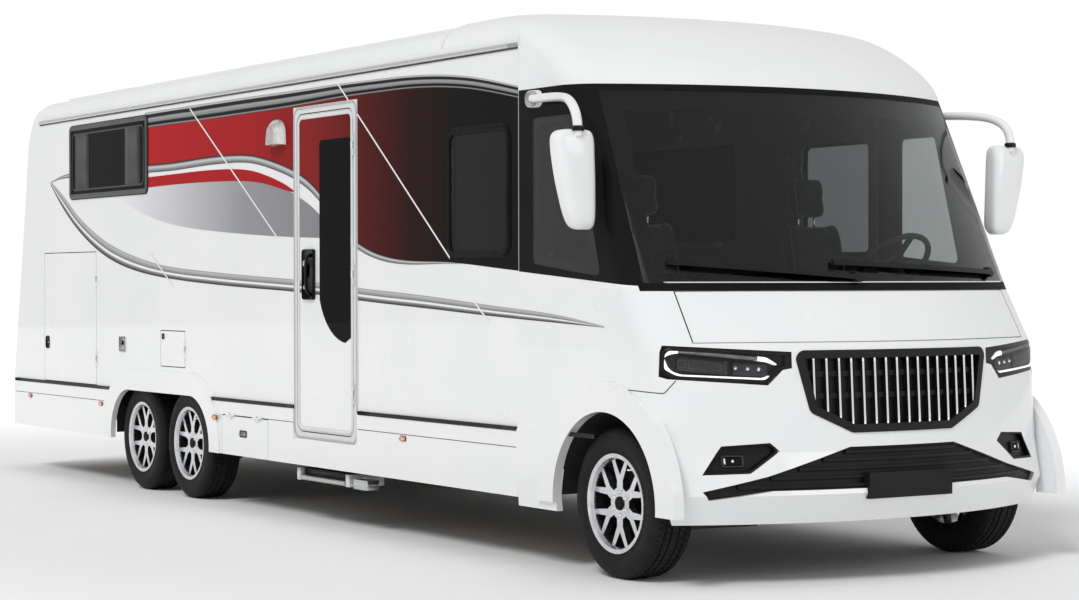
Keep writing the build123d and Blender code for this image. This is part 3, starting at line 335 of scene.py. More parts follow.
def shadedFilm(name, axis, low, high, stops):
    # printed film whose colour runs along one axis between two places
    material, tree, shader = newMaterial(name, Roughness=0.35, **printed)
    along = spread(tree, axisValue(tree, axis), 0.0, 1.0, low, high)
    speck = spread(tree, noise(tree, 9, 3), -0.012, 0.012)
    tree.links.new(ramp(tree, math2(tree, "ADD", along, speck), stops), shader.inputs["Base Color"])
    return material


def linedFilm(name, stops):
    # printed film striped across its width, by the height in its own map
    material, tree, shader = newMaterial(name, Roughness=0.35, **printed)
    split = node(tree, "ShaderNodeSeparateXYZ")
    tree.links.new(node(tree, "ShaderNodeTexCoord").outputs["UV"], split.inputs["Vector"])
    waver = spread(tree, noise(tree, 2.3, 2), -0.02, 0.02)
    tree.links.new(ramp(tree, math2(tree, "ADD", split.outputs["Y"], waver), stops),
                   shader.inputs["Base Color"])
    return material


def paneGlass(name, tint):
    # solid pane, tinted through its thickness, with a faint cloud in the tint
    material, tree, shader = newMaterial(name, Transmission_Weight=1.0, IOR=1.28, Roughness=0.0)
    tree.links.new(ramp(tree, noise(tree, 3, 2), [(0.3, tint), (0.7, tuple(t * 1.06 for t in tint))]),
                   shader.inputs["Base Color"])
    return material


def sidePanes(name, ahead, dark, light):
    # nearly black panes, and lighter clear ones ahead of a place along X
    material, tree, shader = newMaterial(name, IOR=1.2, Specular_IOR_Level=0.1, Roughness=0.0)
    cab = math2(tree, "GREATER_THAN", axisValue(tree, "X"), ahead)
    tree.links.new(cab, shader.inputs["Transmission Weight"])
    cloud = ramp(tree, noise(tree, 3, 2), [(0.3, light), (0.7, tuple(t * 1.05 for t in light))])
    tree.links.new(mixed(tree, cab, dark, cloud), shader.inputs["Base Color"])
    return material


def lens(name, tint, ribScale, glow=(1, 1, 1, 1), lit=0.0):
    # clear or coloured plastic with fine ribs across it, a little lit from within where lit is above nothing
    material, tree, shader = newMaterial(name, Transmission_Weight=0.75, IOR=1.5, Coat_Weight=0.6,
                                         Emission_Color=glow, Emission_Strength=lit)
    tree.links.new(ramp(tree, noise(tree, 30, 2), [(0.3, tint),
                                                   (0.7, tuple(min(1, t * 1.2) for t in tint))]),
                   shader.inputs["Base Color"])
    wave = node(tree, "ShaderNodeTexWave", bands_direction="Y")
    wave.inputs["Scale"].default_value = ribScale
    tree.links.new(objectPlace(tree), wave.inputs["Vector"])
    bumpFrom(tree, shader, wave.outputs["Fac"], 0.3, 0.001)
    tree.links.new(spread(tree, noise(tree, 50, 2), 0.05, 0.12), shader.inputs["Roughness"])
    return material


def rubber(name, tones=((0.006, 0.006, 0.0065), (0.012, 0.012, 0.0125))):
    return coating(name, tones, 14, (0.55, 0.72), (420, 0.25, 0.0006), Specular_IOR_Level=0.2)[0]


def brushed(name, tones, rough, stretch=(1, 1, 1)):
    return coating(name, tones, 90, rough, (360, 0.06, 0.0003), stretch, Metallic=1.0)[0]


def wheelPaint(name, faceDepth):
    # turned bright face where the casting comes out furthest, dark lacquer in its pockets
    material, tree, shader = newMaterial(name, Coat_Weight=0.7, Coat_Roughness=0.05)
    out = math2(tree, "ABSOLUTE", axisValue(tree, "Y"), 0.0)
    bright = math2(tree, "GREATER_THAN", out, faceDepth)
    sheen = ramp(tree, noise(tree, 24, 3), [(0.3, (0.60, 0.61, 0.63)), (0.7, (0.74, 0.75, 0.77))])
    pocket = ramp(tree, noise(tree, 18, 3), [(0.3, (0.018, 0.018, 0.020)), (0.7, (0.03, 0.03, 0.034))])
    tree.links.new(mixed(tree, bright, pocket, sheen), shader.inputs["Base Color"])
    tree.links.new(spread(tree, bright, 0.35, 0.9), shader.inputs["Metallic"])
    tree.links.new(spread(tree, noise(tree, 140, 2), 0.2, 0.32), shader.inputs["Roughness"])
    return material


def cloth(name, tones, weave=520):
    # two crossed fine waves for the threads over a cloud of tone
    material, tree, shader = newMaterial(name, Sheen_Weight=0.35, Sheen_Roughness=0.5,
                                         Specular_IOR_Level=0.2)
    tree.links.new(ramp(tree, noise(tree, 40, 5), [(0.3, tones[0]), (0.7, tones[1])]),
                   shader.inputs["Base Color"])
    height = None
    for direction in ("X", "Z"):
        wave = node(tree, "ShaderNodeTexWave", bands_direction=direction)
        wave.inputs["Scale"].default_value = weave
        wave.inputs["Distortion"].default_value = 0.6
        tree.links.new(objectPlace(tree), wave.inputs["Vector"])
        height = wave.outputs["Fac"] if height is None else math2(tree, "ADD", height, wave.outputs["Fac"])
    bumpFrom(tree, shader, height, 0.35, 0.0008)
    tree.links.new(spread(tree, noise(tree, 70, 3), 0.78, 0.92), shader.inputs["Roughness"])
    return material


paint = whitePaint("whitePaint")[0]
palePaint = coating("palePaint", ((0.66, 0.665, 0.67), (0.72, 0.725, 0.73)), 6, (0.28, 0.36),
                    (200, 0.05, 0.0004))[0]
wall = wallPaint("wallPaint", 1.2)
cab = cabPaint("cabPaint", (3.0, 1.507, 0.072), 1.14)
windscreen = paneGlass("windscreenGlass", (0.46, 0.48, 0.48))
acrylic = sidePanes("tintedAcrylic", 2.2, (0.004, 0.004, 0.0045), (0.17, 0.175, 0.18))
lampGlass = paneGlass("lampGlass", (0.93, 0.94, 0.95))
# painted sheen: the reflector finish glows faintly of itself, a painted reflection that is not light from a
# lamp
reflectorPaintedSheen = coating("lampReflector", ((0.80, 0.82, 0.84), (0.92, 0.93, 0.95)), 40, (0.06, 0.12), Metallic=0.9,
                   Emission_Color=(1, 1, 1, 1), Emission_Strength=0.12)[0]
lightGuide = coating("lightGuide", ((0.84, 0.85, 0.86), (0.90, 0.91, 0.92)), 30, (0.25, 0.35),
                     Emission_Color=(1, 1, 1, 1), Emission_Strength=0.75)[0]
satinGrey = coating("satinGrey", ((0.15, 0.15, 0.16), (0.24, 0.24, 0.25)), 22, (0.2, 0.3), Metallic=0.7)[0]
redLens = lens("redLens", (0.55, 0.015, 0.012), 60)
amberLens = lens("amberLens", (1.0, 0.33, 0.02), 90, (1.0, 0.30, 0.02, 1.0), 0.35)
milkLens = lens("milkLens", (0.92, 0.92, 0.90), 40)
chrome = brushed("brightTrim", ((0.86, 0.87, 0.88), (0.92, 0.93, 0.94)), (0.05, 0.11))
silver = brushed("silverFrame", ((0.55, 0.56, 0.57), (0.63, 0.64, 0.65)), (0.22, 0.30), (1, 1, 6))
blackPlastic = coating("blackPlastic", ((0.006, 0.006, 0.0065), (0.010, 0.010, 0.0105)), 7, (0.38, 0.5),
                       (700, 0.3, 0.0004), Specular_IOR_Level=0.2)[0]
frameGrey = coating("frameGrey", ((0.045, 0.048, 0.050), (0.060, 0.064, 0.067)), 9, (0.3, 0.42),
                    (600, 0.2, 0.0004), Specular_IOR_Level=0.3)[0]
blackGloss = coating("blackGloss", ((0.006, 0.006, 0.007), (0.010, 0.010, 0.011)), 4, (0.12, 0.18),
                     **printed)[0]
greyPlastic = coating("greyPlastic", ((0.022, 0.023, 0.025), (0.034, 0.035, 0.038)), 9, (0.35, 0.48),
                      (600, 0.25, 0.0004), Specular_IOR_Level=0.3)[0]
chassisPaint = coating("chassisPaint", ((0.014, 0.014, 0.014), (0.028, 0.027, 0.026)), 5, (0.5, 0.7),
                       (120, 0.3, 0.001))[0]
linerFelt = coating("linerPlastic", ((0.008, 0.008, 0.008), (0.014, 0.014, 0.014)), 12, (0.75, 0.9),
                    (90, 0.5, 0.002))[0]
floorVinyl = coating("floorVinyl", ((0.10, 0.075, 0.05), (0.16, 0.12, 0.085)), 3, (0.4, 0.55),
                     (30, 0.15, 0.001), (1, 9, 1))[0]
castIron = coating("castIron", ((0.06, 0.06, 0.06), (0.12, 0.12, 0.12)), 9, (0.5, 0.7), (80, 0.6, 0.002),
                   Metallic=0.8)[0]
tyreRubber = rubber("tyreRubber")
sealRubber = rubber("sealRubber", ((0.008, 0.008, 0.008), (0.013, 0.013, 0.013)))
dashVinyl = coating("dashVinyl", ((0.018, 0.018, 0.019), (0.028, 0.028, 0.029)), 6, (0.5, 0.62),
                    (900, 0.5, 0.0006))[0]
seatCloth = cloth("seatCloth", ((0.018, 0.018, 0.020), (0.034, 0.034, 0.037)))
pipingCloth = cloth("pipingCloth", ((0.10, 0.10, 0.105), (0.15, 0.15, 0.155)), 900)
alloy = wheelPaint("wheelAlloy", 1.1445)

nodeFinish = {
    "arch_flares": paint, "arch_liners": linerFelt, "bonnet": paint, "cab_frame": cab,
    "cab_glass": windscreen, "dashboard": dashVinyl, "engine_block": castIron, "entrance_door": paint,
    "entrance_frame": palePaint, "entrance_window": acrylic, "entry_step": blackPlastic,
    "floor_panel": floorVinyl, "fog_lamps": blackPlastic, "frame_rails": chassisPaint,
    "front_axle": chassisPaint, "front_cap": paint, "front_seats": seatCloth, "garage_door_left": paint,
    "garage_door_right": paint, "grille": blackPlastic, "headlamps": lampGlass, "house_windows": acrylic,
    "knuckle_left": castIron, "knuckle_right": castIron, "lower_intake": blackPlastic, "mirrors": paint,
    "nose_shell": paint, "rear_bumper": paint, "rear_lamps": redLens, "rear_wall": paint,
    "roof_panel": paint, "rooflights": milkLens, "seat_bases": chassisPaint, "service_flap": paint,
    "side_wall_left": wall, "side_wall_right": wall, "skirt_flap": paint, "skirts": paint,
    "steering_wheel": dashVinyl, "tandem_axles": chassisPaint, "wipers": blackPlastic,
}
for name, cadNode in nodes.items():
    finish = nodeFinish.get(name) or (tyreRubber if name.startswith("tyre") else alloy)
    for index in range(len(cadNode.data.materials)):
        cadNode.data.materials[index] = finish
print("materials on the CAD nodes")


# Painted graphics.
# A panel is a stretch of body side, by its ends along X and its heights, with the body it moves with.
doorOpening = {"back": 0.402, "front": 1.208, "top": 2.508}
def wallRow(back, front, low=0.70, high=2.715):
    return ("coach", back, front, low, high, wallY, 0.0)


rearRows = [wallRow(-4.55, -3.365), wallRow(-3.365, -1.915, high=2.088), wallRow(-3.365, -1.915, low=2.597)]
cabRows = [wallRow(2.288, 2.901, high=1.604), wallRow(2.288, 2.901, low=2.261), wallRow(2.901, 2.998)]
panels = {
    "right": rearRows + [
        wallRow(-1.915, doorOpening["back"]),
        wallRow(doorOpening["back"], doorOpening["front"], low=doorOpening["top"]),
        wallRow(doorOpening["front"], 2.288),
    ] + cabRows + [("entrance_door", 0.441, 1.169, 0.556, 2.464, wallY + 0.003, 0.063)],
    "left": rearRows + [
        wallRow(-1.915, 0.405), wallRow(0.405, 1.635, high=1.704), wallRow(0.405, 1.635, low=2.296),
        wallRow(1.635, 2.288),
    ] + cabRows,
}


def onPanels(name, start, end, upper, lower, material, slot, lift=1):
    # a film between two heights along X, cut to each panel it crosses; its map runs from the lower
    # edge to the upper
    for sideName, sideValue in sides.items():
        byBody = {}
        for body, back, front, bottom, top, face, corner in panels[sideName]:
            low, high = max(start, back), min(end, front)
            if high - low < 0.002:
                continue
            x = np.linspace(low, high, max(2, int((high - low) / filmStep) + 2))
            into = np.clip(corner - np.minimum(x - back, front - x), 0, corner)
            roof = top - (corner - np.sqrt(np.maximum(corner ** 2 - into ** 2, 0)))
            highLine, lowLine = upper(x), lower(x)
            cutTop = np.minimum(highLine, roof)
            cutBottom = np.maximum(lowLine, bottom)
            keep = cutTop - cutBottom > 0.0005
            middle = np.clip((cutTop + cutBottom) / 2, bottom, roof)
            cutTop = np.where(keep, cutTop, middle)
            cutBottom = np.where(keep, cutBottom, middle)
            share = np.linspace(0, 1, 3)
            z = cutBottom[:, None] + (cutTop - cutBottom)[:, None] * share
            v = (z - lowLine[:, None]) / np.maximum(highLine - lowLine, 1e-4)[:, None]
            u = np.broadcast_to(x[:, None], z.shape)
            y = np.full(z.shape, sideValue * (face + film * lift))
            faces = gridQuads(len(x), 3)
            solid = keep[:-1] & keep[1:]
            faces = faces[np.repeat(solid, 2)]
            if not len(faces):
                continue
            points = np.stack([u, y, z], axis=-1).reshape(-1, 3)
            uv = np.stack([u, v], axis=-1).reshape(-1, 2)
            byBody.setdefault(body, []).append((points, faces, uv))
        for body, parts in byBody.items():
            points, faces = joined([(p, f) for p, f, m in parts])
            uv = np.concatenate([m for p, f, m in parts])
            addPiece(f"{name}_{sideName}_{body}", points, faces, material, body, slot, uv, smooth=False,
                     outward=(0, sideValue, 0))


graphic = {
    "topEdge": [(-1.95, 2.631), (-1.0, 2.630), (-0.24, 2.627), (0.47, 2.622), (1.0, 2.620), (1.5, 2.612),
                (1.85, 2.604), (2.19, 2.583), (2.51, 2.549), (2.82, 2.498), (3.12, 2.440)],
    "topDepth": [(-1.95, 0.105), (0.5, 0.095), (1.2, 0.080), (2.2, 0.070), (3.2, 0.060)],
    "sweep": [(-3.80, 2.214), (-3.58, 2.246), (-3.30, 2.258), (-2.60, 2.258), (-1.85, 2.252), (-1.41, 2.251),
              (-0.98, 2.260), (-0.58, 2.260), (-0.19, 2.239), (0.06, 2.198), (0.31, 2.143), (0.60, 2.045),
              (0.76, 1.958), (0.92, 1.846), (1.07, 1.742), (1.27, 1.655), (1.55, 1.593), (1.84, 1.568),
              (2.24, 1.560),
              (2.81, 1.524), (3.10, 1.504)],
    "sweepWidth": [(-3.80, 0.004), (-3.40, 0.030), (-1.90, 0.056), (-0.98, 0.056), (0.06, 0.053),
                   (0.60, 0.055),
                   (1.20, 0.040), (1.90, 0.022), (2.40, 0.004)],
    "redBandTop": [(-1.95, 2.182), (-1.41, 2.186), (-0.98, 2.189), (-0.58, 2.183), (-0.19, 2.154),
                   (0.06, 2.106),
                   (0.31, 2.039), (0.41, 2.003)],
    "redBandLow": [(-1.95, 2.110), (-1.41, 2.115), (-0.98, 2.113), (-0.58, 2.106), (-0.19, 2.087),
                   (0.06, 2.055),
                   (0.31, 2.012), (0.41, 1.998)],
    "greyLow": [(-2.50, 2.090), (-2.27, 2.010), (-2.04, 1.945), (-1.80, 1.895), (-1.52, 1.852),
                (-0.70, 1.782),
                (0.19, 1.736), (0.97, 1.712)],
    "greyTop": [(-2.50, 2.095), (-1.95, 2.110), (-1.41, 2.115), (-0.98, 2.113), (-0.58, 2.106),
                (-0.19, 2.087),
                (0.06, 2.055), (0.31, 2.012), (0.41, 1.985), (0.60, 1.920), (0.76, 1.842), (0.90, 1.752),
                (0.97, 1.712)],
    "swooshTop": [(-3.80, 2.222), (-3.56, 2.118), (-3.29, 1.975), (-2.99, 1.848), (-2.66, 1.742),
                  (-2.23, 1.650),
                  (-1.69, 1.575), (-1.02, 1.530), (-0.10, 1.489), (0.41, 1.468), (1.25, 1.418),
                  (2.07, 1.374),
                  (2.81, 1.324), (3.40, 1.284), (3.80, 1.236)],
    "swooshLow": [(-3.80, 2.196), (-3.60, 2.052), (-3.35, 1.903), (-3.03, 1.757), (-2.72, 1.652),
                  (-2.27, 1.556),
                  (-1.69, 1.491), (-1.02, 1.450), (-0.10, 1.412), (0.41, 1.394), (1.25, 1.346),
                  (2.07, 1.306),
                  (2.81, 1.270), (3.40, 1.246), (3.80, 1.230)],
}
topEdge = heightAt(graphic["topEdge"])
topDepth = heightAt(graphic["topDepth"])
sweep = heightAt(graphic["sweep"])
sweepWidth = heightAt(graphic["sweepWidth"])

redFade = shadedFilm("redFade", "X", -1.9, 2.35, [
    (0.00, (0.43, 0.011, 0.015)), (0.38, (0.35, 0.011, 0.013)), (0.60, (0.22, 0.012, 0.012)),
    (0.74, (0.085, 0.008, 0.007)), (0.88, (0.022, 0.004, 0.004)), (1.00, (0.006, 0.005, 0.005))])
greyFade = shadedFilm("greyFade", "X", -2.5, 0.95, [
    (0.00, (0.80, 0.80, 0.81)), (0.30, (0.56, 0.56, 0.58)), (0.62, (0.30, 0.30, 0.315)),
    (1.00, (0.22, 0.22, 0.23))])
flatRed = shadedFilm("flatRed", "X", -1.9, 0.5, [(0.0, (0.42, 0.010, 0.014)), (1.0, (0.38, 0.010, 0.013))])
flatWhite = shadedFilm("flatWhite", "X", -4.0, 4.0, [(0.0, (0.80, 0.81, 0.82)), (1.0, (0.84, 0.845, 0.85))])
topLines = linedFilm("topLines", [
    (0.00, (0.02, 0.01, 0.01)), (0.08, (0.30, 0.30, 0.31)), (0.14, (0.01, 0.01, 0.01)),
    (0.30, (0.012, 0.012, 0.013)),
    (0.36, (0.22, 0.22, 0.23)), (0.58, (0.34, 0.34, 0.35)), (0.66, (0.015, 0.015, 0.016)),
    (0.84, (0.02, 0.02, 0.02)), (0.90, (0.55, 0.55, 0.56)), (1.00, (0.30, 0.30, 0.31))])
tubeLines = linedFilm("tubeLines", [
    (0.00, (0.03, 0.03, 0.03)), (0.12, (0.16, 0.16, 0.165)), (0.34, (0.30, 0.30, 0.31)),
    (0.60, (0.58, 0.58, 0.60)),
    (0.74, (0.36, 0.36, 0.37)), (0.86, (0.05, 0.05, 0.05)), (1.00, (0.02, 0.02, 0.02))])
swooshLines = linedFilm("swooshLines", [
    (0.00, (0.10, 0.10, 0.10)), (0.10, (0.06, 0.06, 0.06)), (0.26, (0.26, 0.26, 0.27)),
    (0.33, (0.40, 0.40, 0.41)),
    (0.35, (0.82, 0.82, 0.83)), (0.50, (0.82, 0.82, 0.83)), (0.53, (0.18, 0.18, 0.185)),
    (0.70, (0.34, 0.34, 0.35)),
    (0.90, (0.50, 0.50, 0.51)), (1.00, (0.24, 0.24, 0.25))])

onPanels("redArea", -1.95, 2.998, lambda x: topEdge(x) - topDepth(x), sweep, redFade, "white_body")
onPanels("topStripes", -1.95, 2.998, topEdge, lambda x: topEdge(x) - topDepth(x), topLines, "white_body")
onPanels("sweepLine", -3.80, 2.40, lambda x: sweep(x) + sweepWidth(x) * 0.3,
         lambda x: sweep(x) - sweepWidth(x) * 0.7,
         tubeLines, "white_body", 2)
onPanels("redBand", -1.95, 0.41, heightAt(graphic["redBandTop"]), heightAt(graphic["redBandLow"]), flatRed,
         "white_body", 2)
onPanels("greyField", -2.50, 0.97, heightAt(graphic["greyTop"]), heightAt(graphic["greyLow"]), greyFade,
         "white_body")
onPanels("swoosh", -3.80, 2.998, heightAt(graphic["swooshTop"]), heightAt(graphic["swooshLow"]), swooshLines,
         "white_body")
pinstripes = [((-1.177, 2.612), (0.146, 1.734)), ((0.974, 2.621), (2.290, 1.584)),
              ((-1.867, 1.66), (-1.47, 1.43)),
              ((2.545, 1.353), (2.700, 1.243))]
for index, ((x0, z0), (x1, z1)) in enumerate(pinstripes):
    slope = (z1 - z0) / (x1 - x0)
    onPanels(f"pinstripe{index}", x0, x1, lambda x: z0 + (x - x0) * slope + 0.007,
             lambda x: z0 + (x - x0) * slope - 0.007, flatWhite, "white_body", 3)
print("painted graphics")


# The moulded front's skin.
# Plan sections. Columns: height, station of the tip, inset of the sides, corner radius.
frontRows = np.array([(0.300, 0.075, 0.010, 0.200), (0.440, 0.000, 0.000, 0.240),
                      (0.640, 0.040, 0.000, 0.250),
                      (1.120, 0.066, 0.006, 0.250), (1.420, 0.256, 0.014, 0.230),
                      (2.440, 0.780, 0.014, 0.230)])
frontHalf = 1.237
bowPerHalf = 0.235


def onFront(a, z, out=0.0):
    # a is counted from the middle along the plan section: bowed arc, then the corner's circle, then
    # straight back
    a, z = np.broadcast_arrays(np.asarray(a, float), np.asarray(z, float))
    tip, inset, corner = (np.interp(z, frontRows[:, 0], frontRows[:, k]) for k in (1, 2, 3))
    half = frontHalf - inset + out
    tip = noseX - tip + out
    corner = corner + out
    sag = bowPerHalf * half ** 2
    bow = (half ** 2 + sag ** 2) / (2 * sag)
    cornerY = half - corner
    cornerX = tip - bow + np.sqrt((bow - corner) ** 2 - cornerY ** 2)
    edgeY = cornerY * bow / (bow - corner)
    edgeX = tip - bow + np.sqrt(bow ** 2 - edgeY ** 2)
    start = np.arctan2(edgeY - cornerY, edgeX - cornerX)
    far = np.abs(a)
    turn = np.clip(start + (far - edgeY) / corner, start, math.pi / 2)
    past = np.maximum(far - edgeY - (math.pi / 2 - start) * corner, 0)
    bowed = far < edgeY
    x = np.where(bowed, tip - bow + np.sqrt(np.maximum(bow ** 2 - far ** 2, 0)),
                 cornerX + corner * np.cos(turn) - past)
    y = np.where(bowed, far, cornerY + corner * np.sin(turn))
    return np.stack([x, np.sign(a) * y, z], axis=-1)


def frontSide(side):
    # place(u, v, out) on the front's skin, with u counted toward the given side
    return lambda u, v, out: onFront(side * u, v, out)


def ribbon(path, width, out, deep, place, closed=False, crown=0.0, across=5):
    # a band of some width and depth along a flat path; place(u, v, out) puts it on a skin; crown
    # swells its middle
    path = np.asarray(path, float)
    along = np.gradient(path, axis=0)
    if closed:
        along = np.roll(path, -1, axis=0) - np.roll(path, 1, axis=0)
    normal = np.stack([-along[:, 1], along[:, 0]], axis=1)
    normal /= np.linalg.norm(normal, axis=1, keepdims=True)
    share = np.linspace(-1, 1, across)
    width = np.broadcast_to(width, (len(path),))
    flat = path[:, None] + normal[:, None] * (width[:, None] / 2 * share)[..., None]
    high = place(flat[..., 0], flat[..., 1], out + crown * (1 - share ** 2)[None])
    low = place(flat[..., 0], flat[..., 1], out - deep)[:, ::-1]
    ring = np.concatenate([high, low], axis=1)
    around = 2 * across
    faces = gridQuads(len(path), around, closed, True).tolist()
    if not closed:
        faces.append(list(range(around))[::-1])
        faces.append(list(range((len(path) - 1) * around, len(path) * around)))
    return ring.reshape(-1, 3), faces


def resampled(points, step, closed=False):
    # the same broken line with points no further apart than step
    points = [np.asarray(p, float) for p in points]
    if closed:
        points = points + points[:1]
    line = []
    for a, b in zip(points, points[1:]):
        count = max(1, int(np.linalg.norm(b - a) / step))
        line.append(a + (b - a) * np.linspace(0, 1, count, endpoint=False)[:, None])
    if not closed:
        line.append(points[-1][None])
    return np.concatenate(line)


def rounded(points, radius, steps=4, closed=False):
    # each corner cut off at the same distance on both its runs and bridged by a parabola
    points = np.asarray(points, float)
    line = []
    number = len(points)
    for i in range(number):
        if not closed and i in (0, number - 1):
            line.append(points[i][None])
            continue
        before, corner, after = points[i - 1], points[i], points[(i + 1) % number]
        cut = min(radius, np.linalg.norm(before - corner) * 0.45, np.linalg.norm(after - corner) * 0.45)
        start = corner + (before - corner) / np.linalg.norm(before - corner) * cut
        end = corner + (after - corner) / np.linalg.norm(after - corner) * cut
        t = np.linspace(0, 1, steps)[:, None]
        line.append((1 - t) ** 2 * start + 2 * t * (1 - t) * corner + t ** 2 * end)
    return np.concatenate(line)


def panelOnFront(a, low, high, out, deep, across=6):
    # a plate that follows the front, between two heights given at each a
    share = np.linspace(0, 1, across)
    z = low[:, None] + (high - low)[:, None] * share
    ring = np.concatenate([onFront(a[:, None], z, out), onFront(a[:, None], z, out - deep)[:, ::-1]], axis=1)
    faces = gridQuads(len(a), 2 * across, False, True).tolist()
    faces.append(list(range(2 * across))[::-1])
    faces.append(list(range((len(a) - 1) * 2 * across, len(a) * 2 * across)))
    return ring.reshape(-1, 3), faces


def onNose(name, start, end, upper, lower, material):
    # the same films carried on along the moulded front's straight sides
    for sideName, sideValue in sides.items():
        x = np.linspace(start, end, int((end - start) / filmStep) + 2)
        z = lower(x)[:, None] + (upper(x) - lower(x))[:, None] * np.linspace(0, 1, 4)
        inset = np.interp(z, frontRows[:, 0], frontRows[:, 2])
        y = sideValue * (frontHalf - inset + film)
        u = np.broadcast_to(x[:, None], z.shape)
        v = np.broadcast_to(np.linspace(0, 1, 4), z.shape)
        addPiece(f"{name}_{sideName}_nose", np.stack([u, y, z], axis=-1), gridQuads(len(x), 4), material,
                 "coach",
                 "white_body", np.stack([u, v], axis=-1).reshape(-1, 2), False, (0, sideValue, 0))


onNose("swoosh", 3.002, 3.80, heightAt(graphic["swooshTop"]), heightAt(graphic["swooshLow"]), swooshLines)

# Grille and lamps at the front.
grilleLook = {"bars": 16, "span": 1.010, "high": 1.111, "depth": 0.006, "width": 0.0135, "proud": 0.004,
              "edge": [(0.0, 0.741), (0.313, 0.741), (0.535, 0.842), (0.612, 1.139)]}


def grilleStrips():
    # half an ellipse across each bar, carried up the bar's straight face
    look = grilleLook
    middle = look["span"] * (np.arange(look["bars"]) / (look["bars"] - 1) - 0.5)
    edge = np.array(look["edge"])
    low = np.interp(np.abs(middle) + look["width"] / 2, edge[:, 0], edge[:, 1])
    angle = np.linspace(-math.pi / 2, math.pi / 2, 7)
    parts = []
    for y, bottom in zip(middle, low):
        ends = onFront([y, y], [bottom, look["high"]], 0.0)
        ends[:, 0] -= look["depth"] + 0.0005
        t = np.linspace(0, 1, 9)
        run = ends[0] + (ends[1] - ends[0]) * t[:, None]
        taper = np.minimum(1, 0.45 + 4 * np.minimum(t, 1 - t))[:, None]
        x = run[:, :1] + look["proud"] * np.cos(angle) * taper
        yy = run[:, 1:2] + look["width"] / 2 * np.sin(angle) * np.ones_like(taper)
        z = np.broadcast_to(run[:, 2:], x.shape)
        points = np.stack([x, yy, z], axis=-1).reshape(-1, 3)
        faces = gridQuads(9, 7, False, True).tolist() + [list(range(7))[::-1], list(range(56, 63))]
        parts.append((points, faces))
    return joined(parts)


addPiece("grilleStrips", *grilleStrips(), chrome, "coach", "bright_trim")

# a counts along the nose's skin from its middle, z is a height, depths are behind the skin.
lampLook = {
    "outline": [(1.215, 1.122), (1.186, 1.148), (0.618, 1.114), (0.618, 1.044), (0.664, 1.036),
                (0.735, 0.964),
                (1.150, 0.990), (1.222, 1.030)],
    "upper": [(1.196, 1.098), (1.176, 1.118), (1.130, 1.126), (0.735, 1.082), (0.690, 1.058)],
    "lower": [(1.203, 1.092), (1.192, 1.050), (1.165, 1.020), (1.120, 1.005), (0.752, 0.986),
              (0.716, 1.006)],
    "modules": [(1.130, 0.905, 1.034, 1.100, 1.010, 1.074), (0.884, 0.722, 1.008, 1.070, 0.998, 1.056)],
    "eyes": [(0.869, 1.043), (0.814, 1.039), (0.763, 1.035)],
    "cells": [1.105, 1.055, 1.005, 0.955], "lineWidth": 0.021,
}


def headlamp(name, side):
    look = lampLook
    place = frontSide(side)
    outline = np.array(look["outline"])
    inner = outline + (outline.mean(axis=0) - outline) * np.array([0.035, 0.12])
    rim = resampled(rounded(inner, 0.02, 4, True), 0.02, True)
    addPiece(f"lampBezel_{name}", *ribbon(rim, 0.020, -0.006, 0.045, place, True, 0.002), blackGloss,
             "coach",
             "black_trim")
    a = np.linspace(0.630, 1.205, 60)
    top = np.interp(a, outline[[2, 1, 0], 0], outline[[2, 1, 0], 1]) - 0.004
    bottom = np.interp(a, outline[[3, 4, 5, 6, 7], 0], outline[[3, 4, 5, 6, 7], 1]) + 0.004
    addPiece(f"lampTray_{name}", *panelOnFront(side * a, bottom, top, -0.050, 0.020), blackPlastic, "coach",
             "black_trim")
    upper = resampled(rounded(look["upper"], 0.02, 5), 0.012)
    share = np.linspace(0, 1, len(upper))
    width = look["lineWidth"] * np.interp(share, [0, 0.05, 0.9, 1], [0.45, 1, 1, 0.3])
    ends = [slice(0, 9), slice(len(upper) - 9, len(upper))]
    guides = [ribbon(upper[part], width[part] * 1.04, -0.010, 0.026, place, False, 0.004) for part in ends]
    lower = resampled(rounded(look["lower"], 0.02, 5), 0.012)
    lowerWidth = look["lineWidth"] * np.interp(np.linspace(0, 1, len(lower)), [0, 0.04, 0.9, 1],
                                               [0.6, 0.9, 0.8, 0.25])
    guides.append(ribbon(lower, lowerWidth, -0.010, 0.026, place, False, 0.004))
    addPiece(f"lampGuides_{name}", *joined(guides), lightGuide, "coach", "lamp_glass")
    addPiece(f"lampBar_{name}", *ribbon(upper[7:-7], width[7:-7], -0.012, 0.026, place, False, 0.005),
             satinGrey,
             "coach", "bright_trim")
    parts = []
    for far, near, lowFar, highFar, lowNear, highNear in look["modules"]:
        a = np.linspace(near, far, 12)
        low = np.interp(a, [near, far], [lowNear, lowFar])
        high = np.interp(a, [near, far], [highNear, highFar])
        parts.append(panelOnFront(side * a, low, high, -0.030, 0.022, 4))
    addPiece(f"lampModules_{name}", *joined(parts), greyPlastic, "coach", "black_trim")
    eyes = []
    for u, v in look["eyes"]:
        eyes.append(turned([(0.0, 0.010), (0.005, 0.0085), (0.009, 0.004), (0.010, -0.004)],
                           place(u, v, -0.030), (1, -0.35 * side * -1, 0), 16))
    addPiece(f"lampEyes_{name}", *joined(eyes), reflectorPaintedSheen, "coach", "lamp_glass")
    cells = []
    for u in look["cells"]:
        v = np.interp(u, [0.905, 1.130], [1.042, 1.067])
        loop = np.array([(u - 0.018, v - 0.016), (u + 0.018, v - 0.016), (u + 0.018, v + 0.016),
                         (u - 0.018, v + 0.016)])
        cells.append(ribbon(resampled(rounded(loop, 0.006, 4, True), 0.01, True), 0.004, -0.026, 0.008,
                            place, True))
    addPiece(f"lampCells_{name}", *joined(cells), castIron, "coach", "bright_trim")


